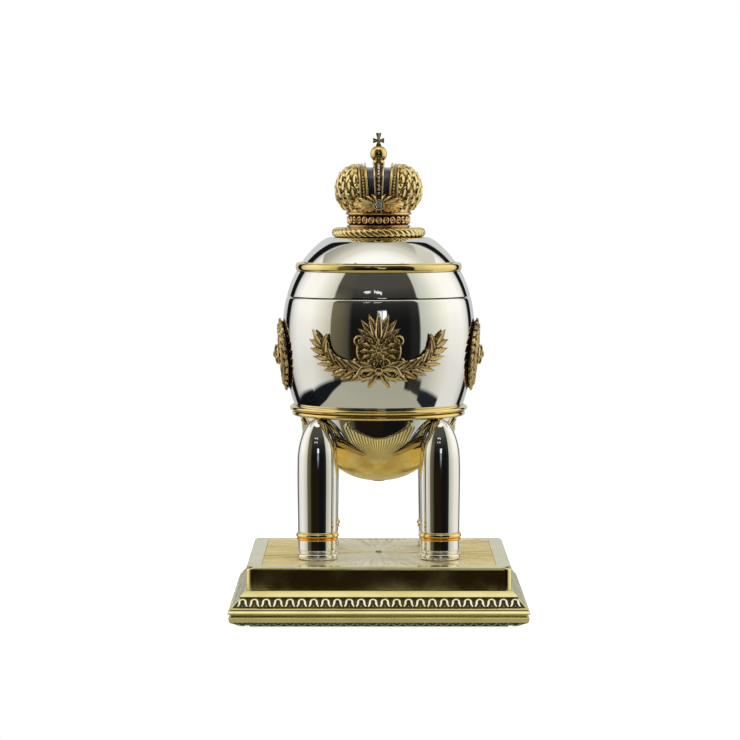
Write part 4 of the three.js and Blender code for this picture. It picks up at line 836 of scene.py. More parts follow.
fan = bmesh.new()
bmesh.ops.create_grid(fan, x_segments=flutes * 6, y_segments=30, size=0.5)
for vert in fan.verts:
    across, up = vert.co.x * 2, vert.co.y + 0.5
    top_drop = fan_dip + (fan_sides[0][0] - fan_dip) * abs(across) ** 2.1
    drop = fan_end + (top_drop - fan_end) * up
    half = fan_half(drop)
    z = band_low_z - drop
    sunk = max(0, min(1, (19.6 - drop) / 4))
    crest = 2 * ((across + 1) * flutes / 2 % 1) - 1
    relief = 1.1 * half / flutes * sqrt(max(0, 1 - crest * crest * 0.98))
    radius = egg_at(z, -(calyx_gap + calyx_thickness - 0.1 + (0.3 + relief) * sunk))
    x = across * half
    vert.co = (x, -sqrt(max(radius ** 2 - x * x, 0)), z)
facing(fan, (0, -1, 0))
back = bmesh.ops.extrude_face_region(fan, geom=list(fan.faces))["geom"]
for vert in verts_of(back):
    vert.co.xy *= 1 - 0.75 / max(vert.co.xy.length, 1)
normals_out(fan)
fans = bmesh.new()
rim_path = []
for i in range(33):
    across = (i / 16 - 1) * 0.97
    drop = fan_dip + (fan_sides[0][0] - fan_dip) * abs(across) ** 2.1 + 0.2
    radius, x = egg_at(band_low_z - drop, -(calyx_gap + calyx_thickness + 0.15)), across * fan_half(drop)
    rim_path.append((x, -sqrt(radius ** 2 - x * x), band_low_z - drop, 0.36))
stamp(fan, drawn(rim_path, 8))
stamp(fans, fan, [Matrix.Rotation(pi / 2 * i, 4, "Z") for i in range(4)])

# The rolled edge of the cap between the fans and the legs: distance from the middle, drop and thickness
roll_path = []
for x, drop, thick in (
        (20.5, 8.2, 1.9), (17.5, 9.3, 1.9), (15, 10.3, 1.8), (12.9, 11.4, 1.75), (10.9, 12.4, 1.7), (9.3, 13.1, 1.6),
        (8, 13.7, 1.55), (6.9, 14.2, 1.4), (6.1, 14.55, 1.15), (5.6, 14.8, 0.75), (5.35, 14.9, 0.15)):
    radius = egg_at(band_low_z - drop, -(calyx_gap + calyx_thickness + 0.2))
    roll_path.append((x, -sqrt(radius ** 2 - x * x), band_low_z - drop, thick))
roll = drawn(roll_path, 12, flat=0.5,
             up=lambda at: Vector((at.x, at.y, (at.z - equator) * (egg_radius / lower_semi) ** 2)))
rolls = bmesh.new()
for i in range(4):
    turned_place = Matrix.Rotation(pi / 2 * i, 4, "Z")
    stamp(rolls, roll, [turned_place, turned_place @ Matrix.Diagonal((-1, 1, 1, 1))])
roll.free()
fan.free()
calyx_gold = gilt("calyx_gold", (0.98, 0.82, 0.38), (0.90, 0.70, 0.26), (0.12, 0.06, 0.012),
                  (80, 0.16, 0.1), (0.0008, 0.2, 0.7))
place_piece(cap_shell, "fluted_calyx", calyx_gold, "stand", ["calyx"], crease=50)
fan_gold = gilt("fan_gold", (1.0, 0.92, 0.58), (0.98, 0.85, 0.48), (0.16, 0.08, 0.02),
                (80, 0.22, 0.1), (0.0008, 0.2, 0.7))
# Painted shade: the rolled edge of the cap gets a darker, browner copy of the cap's gold.
shaded_roll_gold = gilt("shaded_roll_gold", (0.66, 0.45, 0.16), (0.52, 0.33, 0.10), (0.07, 0.03, 0.008),
                 (80, 0.14, 0.1), (0.0012, 0.25, 0.8))
place_piece(rolls, "rolled_edges", shaded_roll_gold, "stand", crease=50)
place_piece(fans, "fluted_fans", fan_gold, "stand", crease=50)

bolt_under = cup_bottom - calyx_gap - calyx_thickness - 0.1
bolt = turned([
    (0, bolt_under), (0.9, bolt_under + 0.01), (1.7, bolt_under + 0.06), (2.3, bolt_under + 0.15),
    (2.6, bolt_under + 0.25), (2.5, bolt_under + 0.4), (1.0, bolt_under + 0.4), (1.0, 59.2), (0, 59.2),
], 48, closed=False)
place_piece(bolt, "domed_bolt", band_gold, "stand", ["calyx_bolt"])


# Front ornament ---------------------------------------------------------------------------------
# A casting in antique gold, pinned through the barrel: a rosette in a beaded ring, two laurel
# sprays, a palmette above and a bow of ribbon below. Painted shade darkens its hollows.

antique_gold = gilt("antique_gold", (0.80, 0.60, 0.30), (0.50, 0.35, 0.15), (0.030, 0.016, 0.005),
                    (160, 0.20, 0.16), (0.0014, 0.28, 0.84))
ornament_z = 111.06


def add_ball(bm, radius, place, squash=1.0, segments=8):
    """Adds a small bead to a mesh at a place."""
    bmesh.ops.create_uvsphere(bm, u_segments=segments, v_segments=max(4, segments // 2), radius=radius,
                              matrix=Matrix.Translation(place) @ Matrix.Scale(squash, 4, (0, 0, 1)))


def scroll(turns, size, thickness, lift=0.0, steps=18):
    """Path of a volute in the XY plane that starts at the origin and winds in."""
    path = []
    for i in range(steps + 1):
        share = i / steps
        angle, reach = -pi / 2 + turns * 2 * pi * share, size * (1 - share) ** 0.9 + 0.12
        path.append((reach * cos(angle), size + reach * sin(angle), lift, thickness * (1 - 0.45 * share)))
    return path


def curve_point(points, share):
    """A point and the way on a quadratic curve through three control points."""
    (x0, y0), (x1, y1), (x2, y2) = points
    rest = 1 - share
    at = (rest * rest * x0 + 2 * rest * share * x1 + share * share * x2,
          rest * rest * y0 + 2 * rest * share * y1 + share * share * y2)
    way = atan2(rest * (y1 - y0) + share * (y2 - y1), rest * (x1 - x0) + share * (x2 - x1))
    return at, way


stem = ((-1.3, -7.5), (20, -11), (23, 3))
spray = bmesh.new()
stem_path = []
for i in range(19):
    (x, y), _ = curve_point(stem, i / 18)
    stem_path.append((x, y, 0.7, 0.75 - 0.35 * i / 18))
stamp(spray, drawn(stem_path, 8))
leaf_pairs = 9
for i in range(leaf_pairs):
    share = (i + 0.6) / (leaf_pairs + 0.4)
    (x, y), way = curve_point(stem, share)
    for side in (-1, 1):
        blade = leaf(7.6 - 1.6 * share, 2.9 - 0.5 * share, 0.55, 0.5)
        lift = 0.35 + 0.25 * (i % 2) + (0.15 if side > 0 else 0)
        stamp(spray, blade, [Matrix.Translation((x, y, lift)) @ spun(way + side * radians(36), 0.2, 0, 0.05)])
        berry = way + side * radians(78)
        add_ball(spray, 0.62, (x + 1.7 * cos(berry), y + 1.7 * sin(berry), 1.15), segments=8)
        blade.free()
(x, y), way = curve_point(stem, 0.95)
stamp(spray, leaf(7.6, 2.6, 0.6, 0.5), [Matrix.Translation((x, y, 0.6)) @ spun(radians(62), 0, 0, 0.04)])

casting = bmesh.new()
stamp(casting, spray, [Matrix.Identity(4), Matrix.Scale(-1, 4, (1, 0, 0))])
for degrees_up, length, lift in (
        (36, 10.5, 0.2), (144, 10.5, 0.2), (54, 12.2, 0.5), (126, 12.2, 0.5), (72, 12.8, 0.8), (108, 12.8, 0.8),
        (90, 13.0, 1.1)):
    stamp(casting, leaf(length, 3.3, 0.7, 0.5, 8),
          [Matrix.Translation((0, 2.9, 0)) @ spun(radians(degrees_up), 0, lift, 0.0)])
for side in (-1, 1):
    flip = Matrix.Scale(side, 4, (1, 0, 0))
    volute = drawn(scroll(1.35, 2.3, 0.5, 1.0), 6)
    upper_curl = flip @ Matrix.Translation((8.2, 2.2, 0)) @ Matrix.Rotation(radians(20), 4, "Z")
    lower_curl = flip @ Matrix.Translation((9.2, -3.4, 0)) @ Matrix.Rotation(radians(150), 4, "Z")
    stamp(casting, volute, [upper_curl, lower_curl @ Matrix.Scale(-1, 4, (1, 0, 0))])
    volute.free()
    # A loop and a forked tail of the ribbon
    loop = [(0.6, -8.2, 1.0, 0.9), (3.4, -6.9, 1.6, 1.1), (6.6, -7.6, 1.9, 1.15), (7.9, -9.6, 1.9, 1.1),
            (6.4, -11.3, 1.6, 1.05), (3.3, -10.7, 1.2, 1.0), (0.6, -8.7, 1.0, 0.8)]
    tail = [(0.5, -8.6, 0.9, 0.7), (1.6, -10.6, 1.4, 0.95), (2.0, -12.2, 1.1, 1.05), (3.4, -13.6, 1.3, 1.1),
            (4.3, -15.0, 0.9, 0.9)]
    for path in (loop, tail):
        stamp(casting, drawn(path, 8, flat=0.42), [flip])
    stamp(casting, drawn([(x, y, z + 0.45, 0.22) for x, y, z, _ in loop], 5), [flip])
add_ball(casting, 1.7, (0, -8.4, 1.5), 0.7, 16)
seat = turned([
    (0, 0.3), (9.0, 0.3), (9.05, 0.7), (8.7, 1.05), (7.9, 1.1), (7.6, 0.85), (5.0, 0.8), (4.7, 1.3), (4.2, 1.5),
    (0, 1.5),
], 64, closed=False)
stamp(casting, seat)
for i in range(32):
    add_ball(casting, 0.48, (8.3 * cos(pi * i / 16), 8.3 * sin(pi * i / 16), 1.15), segments=8)
outer_petal, inner_petal = leaf(4.0, 2.3, 0.55, 0.4), leaf(3.4, 2.0, 0.5, 0.3)
stamp(casting, outer_petal, [spun(2 * pi * i / 14, 3.6, 0.85, 0.06) for i in range(14)])
stamp(casting, inner_petal, [spun(2 * pi * (i + 0.5) / 9, 0.9, 1.45, 0.02) for i in range(9)])
add_ball(casting, 1.35, (0, 0, 1.75), 0.55, 16)
for i in range(8):
    add_ball(casting, 0.3, (1.25 * cos(pi * i / 4), 1.25 * sin(pi * i / 4), 1.95), segments=6)

# The flat casting is laid on the egg, and two pins run through the wall behind it.
for vert in casting.verts:
    x, y, lift = vert.co
    z = ornament_z + y
    radius = egg_at(z)
    raised = (radius + min(max(lift, 0.25), 2.5)) / radius
    vert.co = (x * raised, -sqrt(max(radius ** 2 - x * x, 0)) * raised, z)
pin_z = ornament_z - 7.5
pin_x = 14.9
pin_y = 0.5 - sqrt(egg_at(pin_z) ** 2 - pin_x ** 2)
pin_radius, pin_length = 0.75, 3.2
for side in (-1, 1):
    pin_place = Matrix.Translation((side * pin_x, pin_y, pin_z)) @ Matrix.Rotation(pi / 2, 4, "X")
    bmesh.ops.create_cone(casting, cap_ends=True, segments=16, radius1=pin_radius, radius2=pin_radius,
                          depth=pin_length, matrix=pin_place)
normals_out(casting)
place_piece(casting, "laurel_casting", antique_gold, "stand", ["front_ornament"], crease=45)


# Side medallions --------------------------------------------------------------------------------
# On each side a cast plate ringed by a laurel wreath, held off the barrel by a short collar. A
# rosette boss whose pin runs through the wall holds it.

medallion_z, wreath_radius = 107.46, 12.0
plate_front = 1.5
disc = turned([
    (0.9, 0.15), *[(r, 0.15) for r in range(3, 14, 2)], (13.9, 0.2), (14.2, 0.5), (14.1, 0.8), (13.6, 1.2),
    (12.9, 1.5), (12.0, 1.7), (11.0, 1.8), (10.3, 1.7), (10.0, 1.5), *[(r, plate_front) for r in (9, 7, 5)],
    (4.4, plate_front + 0.1), (0.9, plate_front + 0.1),
], 72)
wreath_leaf = leaf(4.4, 2.4, 0.5, 0.4, 4)
for i in range(26):
    angle = 2 * pi * i / 26
    for side, lift in ((-1, 1.45), (1, 1.1), (0, 1.6)):
        at = wreath_radius - 0.3 + side * 1.2
        stamp(disc, wreath_leaf, [Matrix.Rotation(angle, 4, "Z") @ Matrix.Translation((at, 0, lift))
                                  @ Matrix.Rotation(pi / 2 - side * 0.4, 4, "Z") @ Matrix.Rotation(-0.02, 4, "Y")])
for i in range(36):
    add_ball(disc, 0.5, (9.4 * cos(pi * i / 18), 9.4 * sin(pi * i / 18), plate_front + 0.2), segments=6)
ray_leaf = leaf(4.2, 1.7, 0.5, 0.3, 4)
stamp(disc, ray_leaf, [spun(2 * pi * i / 14, 4.6, plate_front - 0.1, 0.03) for i in range(14)])
boss = turned([
    (0, -1.7), (0.8, -1.7), (0.8, plate_front + 0.2), (4.2, plate_front + 0.2), (4.3, plate_front + 0.7),
    (3.9, plate_front + 1.2), (2.2, plate_front + 1.7), (0, plate_front + 1.8),
], 40, closed=False)
boss_petal = leaf(3.2, 2.0, 0.5, 0.4)
stamp(boss, boss_petal, [spun(2 * pi * i / 10, 0.9, plate_front + 1.5, -0.12) for i in range(10)])
add_ball(boss, 1.3, (0, 0, plate_front + 2.2), 0.6, 16)
for side, azimuth in (("left", pi), ("right", 0)):
    # Each piece is bent to the egg: local X runs down it, Y round it and Z out of it.
    for part, name in ((disc, "wreath"), (boss, "boss")):
        node_name = "medallion_" + ("boss_" if name == "boss" else "") + side
        copy = bmesh.new()
        stamp(copy, part)
        for vert in copy.verts:
            down, across, out = vert.co
            z = medallion_z - down
            radius = egg_at(z)
            raised = (radius + out) / radius
            vert.co = (sqrt(radius ** 2 - across ** 2) * raised, across * raised, z)
        bmesh.ops.rotate(copy, cent=(0, 0, 0), matrix=Matrix.Rotation(azimuth, 3, "Z"), verts=copy.verts)
        place_piece(copy, f"{name}_{side}", antique_gold, "stand", [node_name], crease=45)


# Hinge ------------------------------------------------------------------------------------------
# A small steel hinge at the back: two leaves bent to the egg and riveted, three knuckles and a
# headed pin. The heel of the middle knuckle meets the lower leaf and stops the open lid.

hinge_y, hinge_z = 41.274, 131.835
knuckle_radius, knuckle_mouth, knuckle_bore, pin_radius = 1.8, 1.65, 0.88, 0.8
side_start, side_end, middle_half = 2.7, 6.7, 2.5
hinge_steel = mirror_metal("hinge_steel", (0.80, 0.79, 0.76), (0.70, 0.69, 0.66), 90, 0.12, 0.12)
along_x = Matrix.Translation((0, hinge_y, hinge_z)) @ Matrix.Rotation(pi / 2, 4, "Y")


def knuckle(start, end):
    """A rolled knuckle on the hinge axis, with softened ends."""
    bm = bmesh.new()
    part = turned([
        (knuckle_bore, start), (knuckle_mouth, start), (knuckle_radius, start + 0.15),
        (knuckle_radius, end - 0.15), (knuckle_mouth, end), (knuckle_bore, end),
    ], 40)
    stamp(bm, part, [along_x])
    part.free()
    return bm


def leaf_plate(low, high, rivets):
    """A hinge leaf bent to the egg, with domed rivet heads."""
    bm = bmesh.new()
    bmesh.ops.create_grid(bm, x_segments=16, y_segments=8, size=0.5)
    above = rivets[0][1] > seam
    for vert in bm.verts:
        share = vert.co.y + 0.5
        trim = 0.8 * max(0, abs(vert.co.x * 2) - 0.85) / 0.15 * (share if above else 1 - share)
        z = low + (high - low) * share + (-trim if above else trim)
        x = vert.co.x * 2 * side_end
        vert.co = (x, sqrt(egg_at(z, -0.8) ** 2 - x * x), z)
    inner = bmesh.ops.extrude_face_region(bm, geom=list(bm.faces))["geom"]
    for vert in verts_of(inner):
        vert.co.xy *= 1 - 0.7 / vert.co.xy.length
    normals_out(bm)
    for x, z in rivets:
        y = sqrt(egg_at(z, -0.75) ** 2 - x * x)
        bmesh.ops.create_uvsphere(bm, u_segments=16, v_segments=8, radius=0.7,
                                  matrix=Matrix.Translation((x, y, z)) @ Matrix.Scale(0.5, 4, (0, 1, 0)))
    return bm


def arm(bm, x0, x1, y0, y1, z0, z1):
    """Adds a rounded block to a hinge leaf."""
    place = Matrix.Translation(((x0 + x1) / 2, (y0 + y1) / 2, (z0 + z1) / 2))
    place = place @ Matrix.Diagonal((x1 - x0, y1 - y0, z1 - z0, 1))
    made = bmesh.ops.create_cube(bm, size=1, matrix=place)["verts"]
    edges = {e for v in made for e in v.link_edges}
    bmesh.ops.bevel(bm, geom=list(edges), offset=0.12, segments=2, profile=0.5, affect="EDGES", material=-1)


arm_y = egg_at(seam) + 0.45
lower_leaf = leaf_plate(seam - 7.5, seam - 0.05, [(-4.4, seam - 5.2), (4.4, seam - 5.2)])
for side in (-1, 1):
    start, end = sorted((side * side_start, side * side_end))
    stamp(lower_leaf, knuckle(start, end))
    arm(lower_leaf, start, end, arm_y, hinge_y - 0.95, seam - 1.5, seam - 0.1)
place_piece(lower_leaf, "lower_hinge", hinge_steel, "stand", ["hinge_lower_leaf"])
upper_leaf = leaf_plate(lid_bottom + 0.05, lid_bottom + 7.5, [(-4.4, lid_bottom + 5.2), (4.4, lid_bottom + 5.2)])
stamp(upper_leaf, knuckle(-middle_half, middle_half))
arm(upper_leaf, -middle_half, middle_half, arm_y, hinge_y - 0.95, lid_bottom + 0.1, lid_bottom + 1.5)
arm(upper_leaf, -middle_half, middle_half, hinge_y + 0.95, hinge_y + 3.0, hinge_z - 0.94, hinge_z + 0.9)
place_piece(upper_leaf, "upper_hinge", hinge_steel, "lid", ["hinge_upper_leaf"])
pin_end = side_end + 0.1
pin_outline = [
    (0, -pin_end - 0.6), (1.0, -pin_end - 0.55), (1.3, -pin_end - 0.25), (1.3, -pin_end), (pin_radius, -pin_end)]
pin_outline += [(radius, -z) for radius, z in reversed(pin_outline)]
pin = turned(pin_outline, 32, closed=False)
bmesh.ops.transform(pin, matrix=along_x, verts=pin.verts)
place_piece(pin, "hinge_axle", hinge_steel, "stand", ["hinge_pin"])


# Lid --------------------------------------------------------------------------------------------
# The upper part of the egg: a short spun barrel and a dome, mirror polished, with a rounded gilt
# band over their joint. A velvet lining sits on a ledge inside.

upper_low, upper_high, crown_seat = 142.36, 146.16, 156.36
lid_ledge, ledge_thickness, ledge_reach = seam + 3.2, 1.2, 5.9
ledge_top = lid_ledge + ledge_thickness
lid_outline = [
    (egg_at(lid_bottom) - 0.4, lid_bottom), (egg_at(lid_bottom) - 0.08, lid_bottom + 0.1),
    *egg_arc(lid_bottom + 0.35, upper_low, 0, 12), *reversed(egg_arc(ledge_top, upper_low, wall, 8)),
    (egg_at(ledge_top, ledge_reach), ledge_top), (egg_at(lid_ledge, ledge_reach), lid_ledge),
    (egg_at(lid_ledge, wall), lid_ledge), (egg_at(lid_bottom, wall), lid_bottom),
]
place_piece(turned(lid_outline, smooth), "mirror_lid", mirror_steel, "lid", ["lid_barrel"])

band_back = egg_at(upper_low) - 0.5
upper_band_outline = [
    (band_back - 0.9, upper_low), *bead(band_back, upper_low, upper_high - 0.35, 0.95, 12),
    (egg_at(upper_high) + 0.5, upper_high - 0.33), (egg_at(upper_high) + 0.4, upper_high - 0.05),
    (egg_at(upper_high) + 0.3, upper_high), (egg_at(upper_high) - 1.4, upper_high),
]
place_piece(turned(upper_band_outline, smooth), "rounded_band", band_gold, "lid", ["upper_band"])

dome_ceiling = crown_seat - wall
# The shoulder is rounded off over its last two millimetres.
shoulder = [
    (radius - 0.7 * max(0, (z - crown_seat + 2) / 2) ** 2, z)
    for radius, z in reversed(egg_arc(upper_high, crown_seat - 0.25, 0, 32))]
dome = turned([
    (1.4, crown_seat), (egg_at(crown_seat) - 1.5, crown_seat), (egg_at(crown_seat) - 0.9, crown_seat - 0.08), *shoulder,
    *egg_arc(upper_high, dome_ceiling, wall, 16), (1.4, dome_ceiling),
], smooth)
place_piece(dome, "mirror_dome", mirror_steel, "lid", ["lid_dome"])

lid_lining_top = dome_ceiling - 2 - 0.25
lid_lining = turned([
    (egg_at(ledge_top, ledge_reach), ledge_top), *egg_arc(ledge_top, lid_lining_top, 4.4, 20),
    (0, lid_lining_top), (0, lid_lining_top - 1.5),
    *reversed(egg_arc(ledge_top, lid_lining_top - 1.5, ledge_reach, 20)),
], 128, closed=False)
bmesh.ops.remove_doubles(lid_lining, verts=lid_lining.verts, dist=0.001)
place_piece(lid_lining, "velvet_lid", velvet, "lid", ["lid_lining"], crease=60)


# Rope ring --------------------------------------------------------------------------------------
# Three gilt strands twisted into a rope and closed into a ring, which lies on the flat top of the
# dome round the foot of the crown.

rope_gold = gilt("rope_gold", (0.98, 0.81, 0.39), (0.88, 0.62, 0.22), (0.11, 0.04, 0.005),
                 (90, 0.10, 0.12), (0.0010, 0.2, 0.7))
rope_radius, rope_tube, rope_twists = 17.45, 2.2, 14
strand_radius = 1.2
rope = bmesh.new()
for strand in range(3):
    path = []
    rings = rope_twists * 11
    for i in range(rings):
        azimuth = 2 * pi * i / rings
        turn_at = -rope_twists * azimuth + 2 * pi * strand / 3
        reach = rope_radius + (rope_tube - strand_radius) * cos(turn_at)
        lift = crown_seat + 2.02 + (rope_tube - strand_radius) * 0.86 * sin(turn_at)
        path.append((reach * cos(azimuth), reach * sin(azimuth), lift, strand_radius))
    part = drawn(path, 8, closed=True)
    stamp(rope, part)
    part.free()
for vert in rope.verts:
    vert.co.z = max(vert.co.z, crown_seat + 0.02)
place_piece(rope, "twisted_rope", rope_gold, "lid", ["rope_ring"], crease=60)


# Circlet of the crown ---------------------------------------------------------------------------
# A turned and chased ring in antique gold that stands inside the rope: beaded wires above and
# below a frieze of running scrolls, over a plain foot.

crown_gold = gilt("crown_gold", (1.0, 0.81, 0.40), (0.88, 0.62, 0.24), (0.05, 0.018, 0.004),
                  (150, 0.12, 0.14), (0.0011, 0.2, 0.74))
circlet_top = 166.96
frieze_radius, frieze_z = 12.85, 163.6
frieze_floor, frieze_face = 12.68, 13.0
circlet = turned([
    (10.6, crown_seat), (14.6, crown_seat), (14.6, 157.4), (14.3, 157.8), (13.5, 158.1), (13.0, 158.8),
    (12.9, 159.8), (12.9, 160.5),
    *bead(12.9, 160.6, 161.5, 0.45), (12.45, 161.6), (12.5, 163.2), (12.6, 164.6), (12.7, 165.6),
    *bead(13.2, 165.75, 166.9, 0.6), (10.2, circlet_top), (10.2, crown_seat),
], 96)
curl = drawn(scroll(1.3, 1.15, 0.42, 0, 14), 6)
for i in range(14):
    azimuth = 2 * pi * i / 14
    for shift, flip in ((0, 1), (0.5, -1)):
        angle = azimuth + shift * 2 * pi / 14
        upright = Matrix((
            (-sin(angle), 0, cos(angle), frieze_radius * cos(angle)),
            (cos(angle), 0, sin(angle), frieze_radius * sin(angle)), (0, 1, 0, frieze_z), (0, 0, 0, 1)))
        slant = Matrix.Rotation(radians(40), 4, "Z") @ Matrix.Translation((0.1, -0.9, 0))
        stamp(circlet, curl, [upright @ Matrix.Diagonal((x, x * flip, 1, 1)) @ slant for x in (1, -1)])
curl.free()


def frieze_depth(tree):
    """Masks the sunk ground of the frieze by its distance from the axis."""
    flat = vectors(tree, "MULTIPLY", object_place(tree), (1, 1, 0))[0]
    return mapped(tree, vectors(tree, "LENGTH", flat)["Value"], frieze_floor * MM, frieze_face * MM, 1, 0)


circlet_gold = gilt("circlet_gold", (0.97, 0.72, 0.40), (0.88, 0.58, 0.26), (0.028, 0.010, 0.002),
                    (150, 0.12, 0.12), (0.0008, 0.15, 0.55), frieze_depth)
place_piece(circlet, "scrolled_circlet", circlet_gold, "lid", ["crown_circlet"], crease=45)


# Cap, lobes and arch of the crown ---------------------------------------------------------------
# A black enamelled cap, two pierced lobes of scroll and scale work in antique gold with beaded
# borders, and between them an arch of gilt wire set with a row of brilliants.

bulb_profile = [
    (14.0, 0), (16.2, 2.9), (17.4, 5.9), (17.8, 9.2), (17.3, 12.5), (15.8, 15.5), (13.2, 18), (10.3, 19.3), (5.6, 20.1)]


def bulb_point(share, inset=0):
    """Radius and height on the bulb, share 0 at the circlet and 1 at the crest, drawn in by an inset."""
    count = len(bulb_profile) - 1
    place = min(max(share, 0), 0.9999) * count
    i = int(place)
    t = place - i
    p = [Vector(bulb_profile[max(0, min(count, i + k))]) for k in (-1, 0, 1, 2)]
    if i == 0:
        p[0] = 2 * p[1] - p[2]
    square, cube = 2 * p[0] - 5 * p[1] + 4 * p[2] - p[3], 3 * p[1] - p[0] - 3 * p[2] + p[3]
    at = 0.5 * ((2 * p[1]) + (p[2] - p[0]) * t + square * t ** 2 + cube * t ** 3)
    way = 0.5 * ((p[2] - p[0]) + 2 * square * t + 3 * cube * t ** 2)
    out = Vector((way.y, -way.x)).normalized()
    at = at - out * inset
    return at.x, circlet_top + at.y


def on_bulb(share, azimuth, lift=0):
    radius, z = bulb_point(share, -lift)
    return Vector((radius * cos(azimuth), radius * sin(azimuth), z))


def bulb_place(share, azimuth, lift=0, turn_by=0.0):
    """A place on the bulb: local Z points out of it and local Y up it."""
    at = on_bulb(share, azimuth, lift)
    up = (on_bulb(share + 0.01, azimuth, lift) - on_bulb(share - 0.01, azimuth, lift)).normalized()
    out = (on_bulb(share, azimuth, lift + 1) - at).normalized()
    side = up.cross(out)
    return Matrix.Translation(at) @ Matrix((side, up, out)).transposed().to_4x4() @ Matrix.Rotation(turn_by, 4, "Z")


enamel = polished("black_enamel", (0.008, 0.009, 0.014), (0.022, 0.024, 0.032), 120, 0.16, 0.2,
                  Coat_Weight=0.6, Coat_Roughness=0.05)[0]
cap_outline = [bulb_point(i / 30, 1.6) for i in range(31)]
enamel_cap = turned([
    (cap_outline[0][0] - 0.3, circlet_top), *cap_outline, (1.4, cap_outline[-1][1]), (1.4, cap_outline[-1][1] - 1.2),
    *[bulb_point(i / 30, 2.8) for i in range(30, -1, -1)], (bulb_point(0, 2.8)[0] - 0.3, circlet_top),
], 96)
place_piece(enamel_cap, "enamel_cap", enamel, "lid", ["crown_cap"], crease=60)


def valley(share):
    """Distance of a lobe's inner edge from the middle plane: the gap between the lobes widens upward."""
    return 3.7 + 1.7 * min(share / 0.9, 1)


lobe = bmesh.new()
bmesh.ops.create_grid(lobe, x_segments=56, y_segments=28, size=0.5)
for vert in lobe.verts:
    share = (vert.co.y + 0.5) * 0.985
    radius, z = bulb_point(share, 0.75)
    widest = acos(min(valley(share) / max(radius, valley(share) + 0.05), 1))
    angle = vert.co.x * 2 * widest
    vert.co = (radius * cos(angle), radius * sin(angle), z if share > 0 else circlet_top)
facing(lobe, (1, 0, 0))
bmesh.ops.solidify(lobe, geom=list(lobe.faces), thickness=0.7)
normals_out(lobe)


def border_path(outward, lift, radius, steps=60):
    """A path up the front edge, over the top and down the back edge of a lobe, at a distance from its edge."""
    top = max(i / 200 for i in range(200) if bulb_point(i / 200, -lift)[0] > valley(i / 200) + outward)
    path = []
    for i in range(steps + 1):
        share = top * sin(pi * i / steps)
        r, z = bulb_point(share, -lift)
        x = valley(share) + outward
        y = sqrt(max(r * r - x * x, 0))
        path.append((x, -y if i < steps / 2 else y, max(z, circlet_top + 0.2), radius))
    return path


def thinned(path, gap):
    """Points of a path at a steady gap."""
    points = [Vector(step[:3]) for step in path]
    kept, run = [points[0]], 0
    for before, after in zip(points, points[1:]):
        length = (after - before).length
        while run + length >= gap and length > 0:
            before = before + (after - before) * ((gap - run) / length)
            kept.append(before)
            length, run = (after - before).length, 0
        run += length
    return kept


for outward, radius in ((0.3, 0.4), (3.1, 0.38)):
    stamp(lobe, drawn(border_path(outward, 0.08, radius), 8, up=(1, 0, 0)))
for at in thinned(border_path(1.7, -0.25, 0.5), 1.3):
    add_ball(lobe, 0.52, at, segments=8)
scale_leaf = leaf(5.2, 3.7, 0.85, 0.35, 6)
hook = drawn(scroll(1.15, 1.2, 0.42, 0.1, 12), 6)
rows, column_pitch = 8, 0.235
for row in range(rows):
    share = 0.02 + 0.78 * row / (rows - 1)
    radius, _ = bulb_point(share)
    for column in range(-7, 8):
        angle = (column + 0.5 * (row % 2)) * column_pitch
        inset = radius * cos(angle) - valley(share)
        if abs(angle) > 1.4 or inset < 5.4:
            continue
        size = min(1, radius / 16)
        lean_out = spun(radians(90 + 8 * (1 if column % 2 else -1)), tilt=-0.03)
        stamp(lobe, scale_leaf, [bulb_place(share, angle, -0.8) @ Matrix.Scale(size, 4) @ lean_out])
    # A curl on each side between the leaves and the beaded border
    angle = acos(min(1, (valley(share) + 4.6) / radius)) if radius > valley(share) + 4.8 else None
    if angle:
        for side in (-1, 1):
            lie = Matrix.Diagonal((side * (1 if row % 2 else -1), 1, 1, 1)) @ Matrix.Translation((0.2, -1.2, 0))
            stamp(lobe, hook, [bulb_place(share + 0.03, side * angle, -0.55) @ lie])
scale_leaf.free()
hook.free()
for side, flip in (("right", 1), ("left", -1)):
    copy = bmesh.new()
    stamp(copy, lobe, [Matrix.Scale(flip, 4, (1, 0, 0))])
    place_piece(copy, f"pierced_lobe_{side}", crown_gold, "lid", [f"crown_lobe_{side}"], crease=50)
lobe.free()


def arch_half_width(share):
    """Half the width of the arch, which narrows towards its feet."""
    return 1.05 + 1.25 * share


hoop = bmesh.new()
bmesh.ops.create_grid(hoop, x_segments=6, y_segments=64, size=0.5)
for vert in hoop.verts:
    along, across = vert.co.y * 2, vert.co.x * 2
    share = 1 - abs(along)
    radius, z = bulb_point(share, 0.35)
    x = across * (arch_half_width(share) - 0.2)
    lean_in = max(0, (share - 0.93) / 0.07)
    y = sqrt(max(radius ** 2 - x * x, 0)) * (1 - lean_in)
    vert.co = (x, y if along > 0 else -y, z if share > 0 else circlet_top)
bmesh.ops.remove_doubles(hoop, verts=hoop.verts, dist=0.01)
facing(hoop, (0, 0, 1))
bmesh.ops.solidify(hoop, geom=list(hoop.faces), thickness=0.9)
normals_out(hoop)


def hoop_path(side, lift, radius, steps=64):
    """A path over the arch from front to back, down its middle or along one side."""
    path = []
    for i in range(steps + 1):
        along = 2 * i / steps - 1
        share = 1 - abs(along)
        r, z = bulb_point(share, -lift)
        x = side * (arch_half_width(share) - 0.1)
        y = sqrt(max(r * r - x * x, 0)) * (1 - max(0, (share - 0.93) / 0.07))
        path.append((x, y if along > 0 else -y, z, radius))
    return path


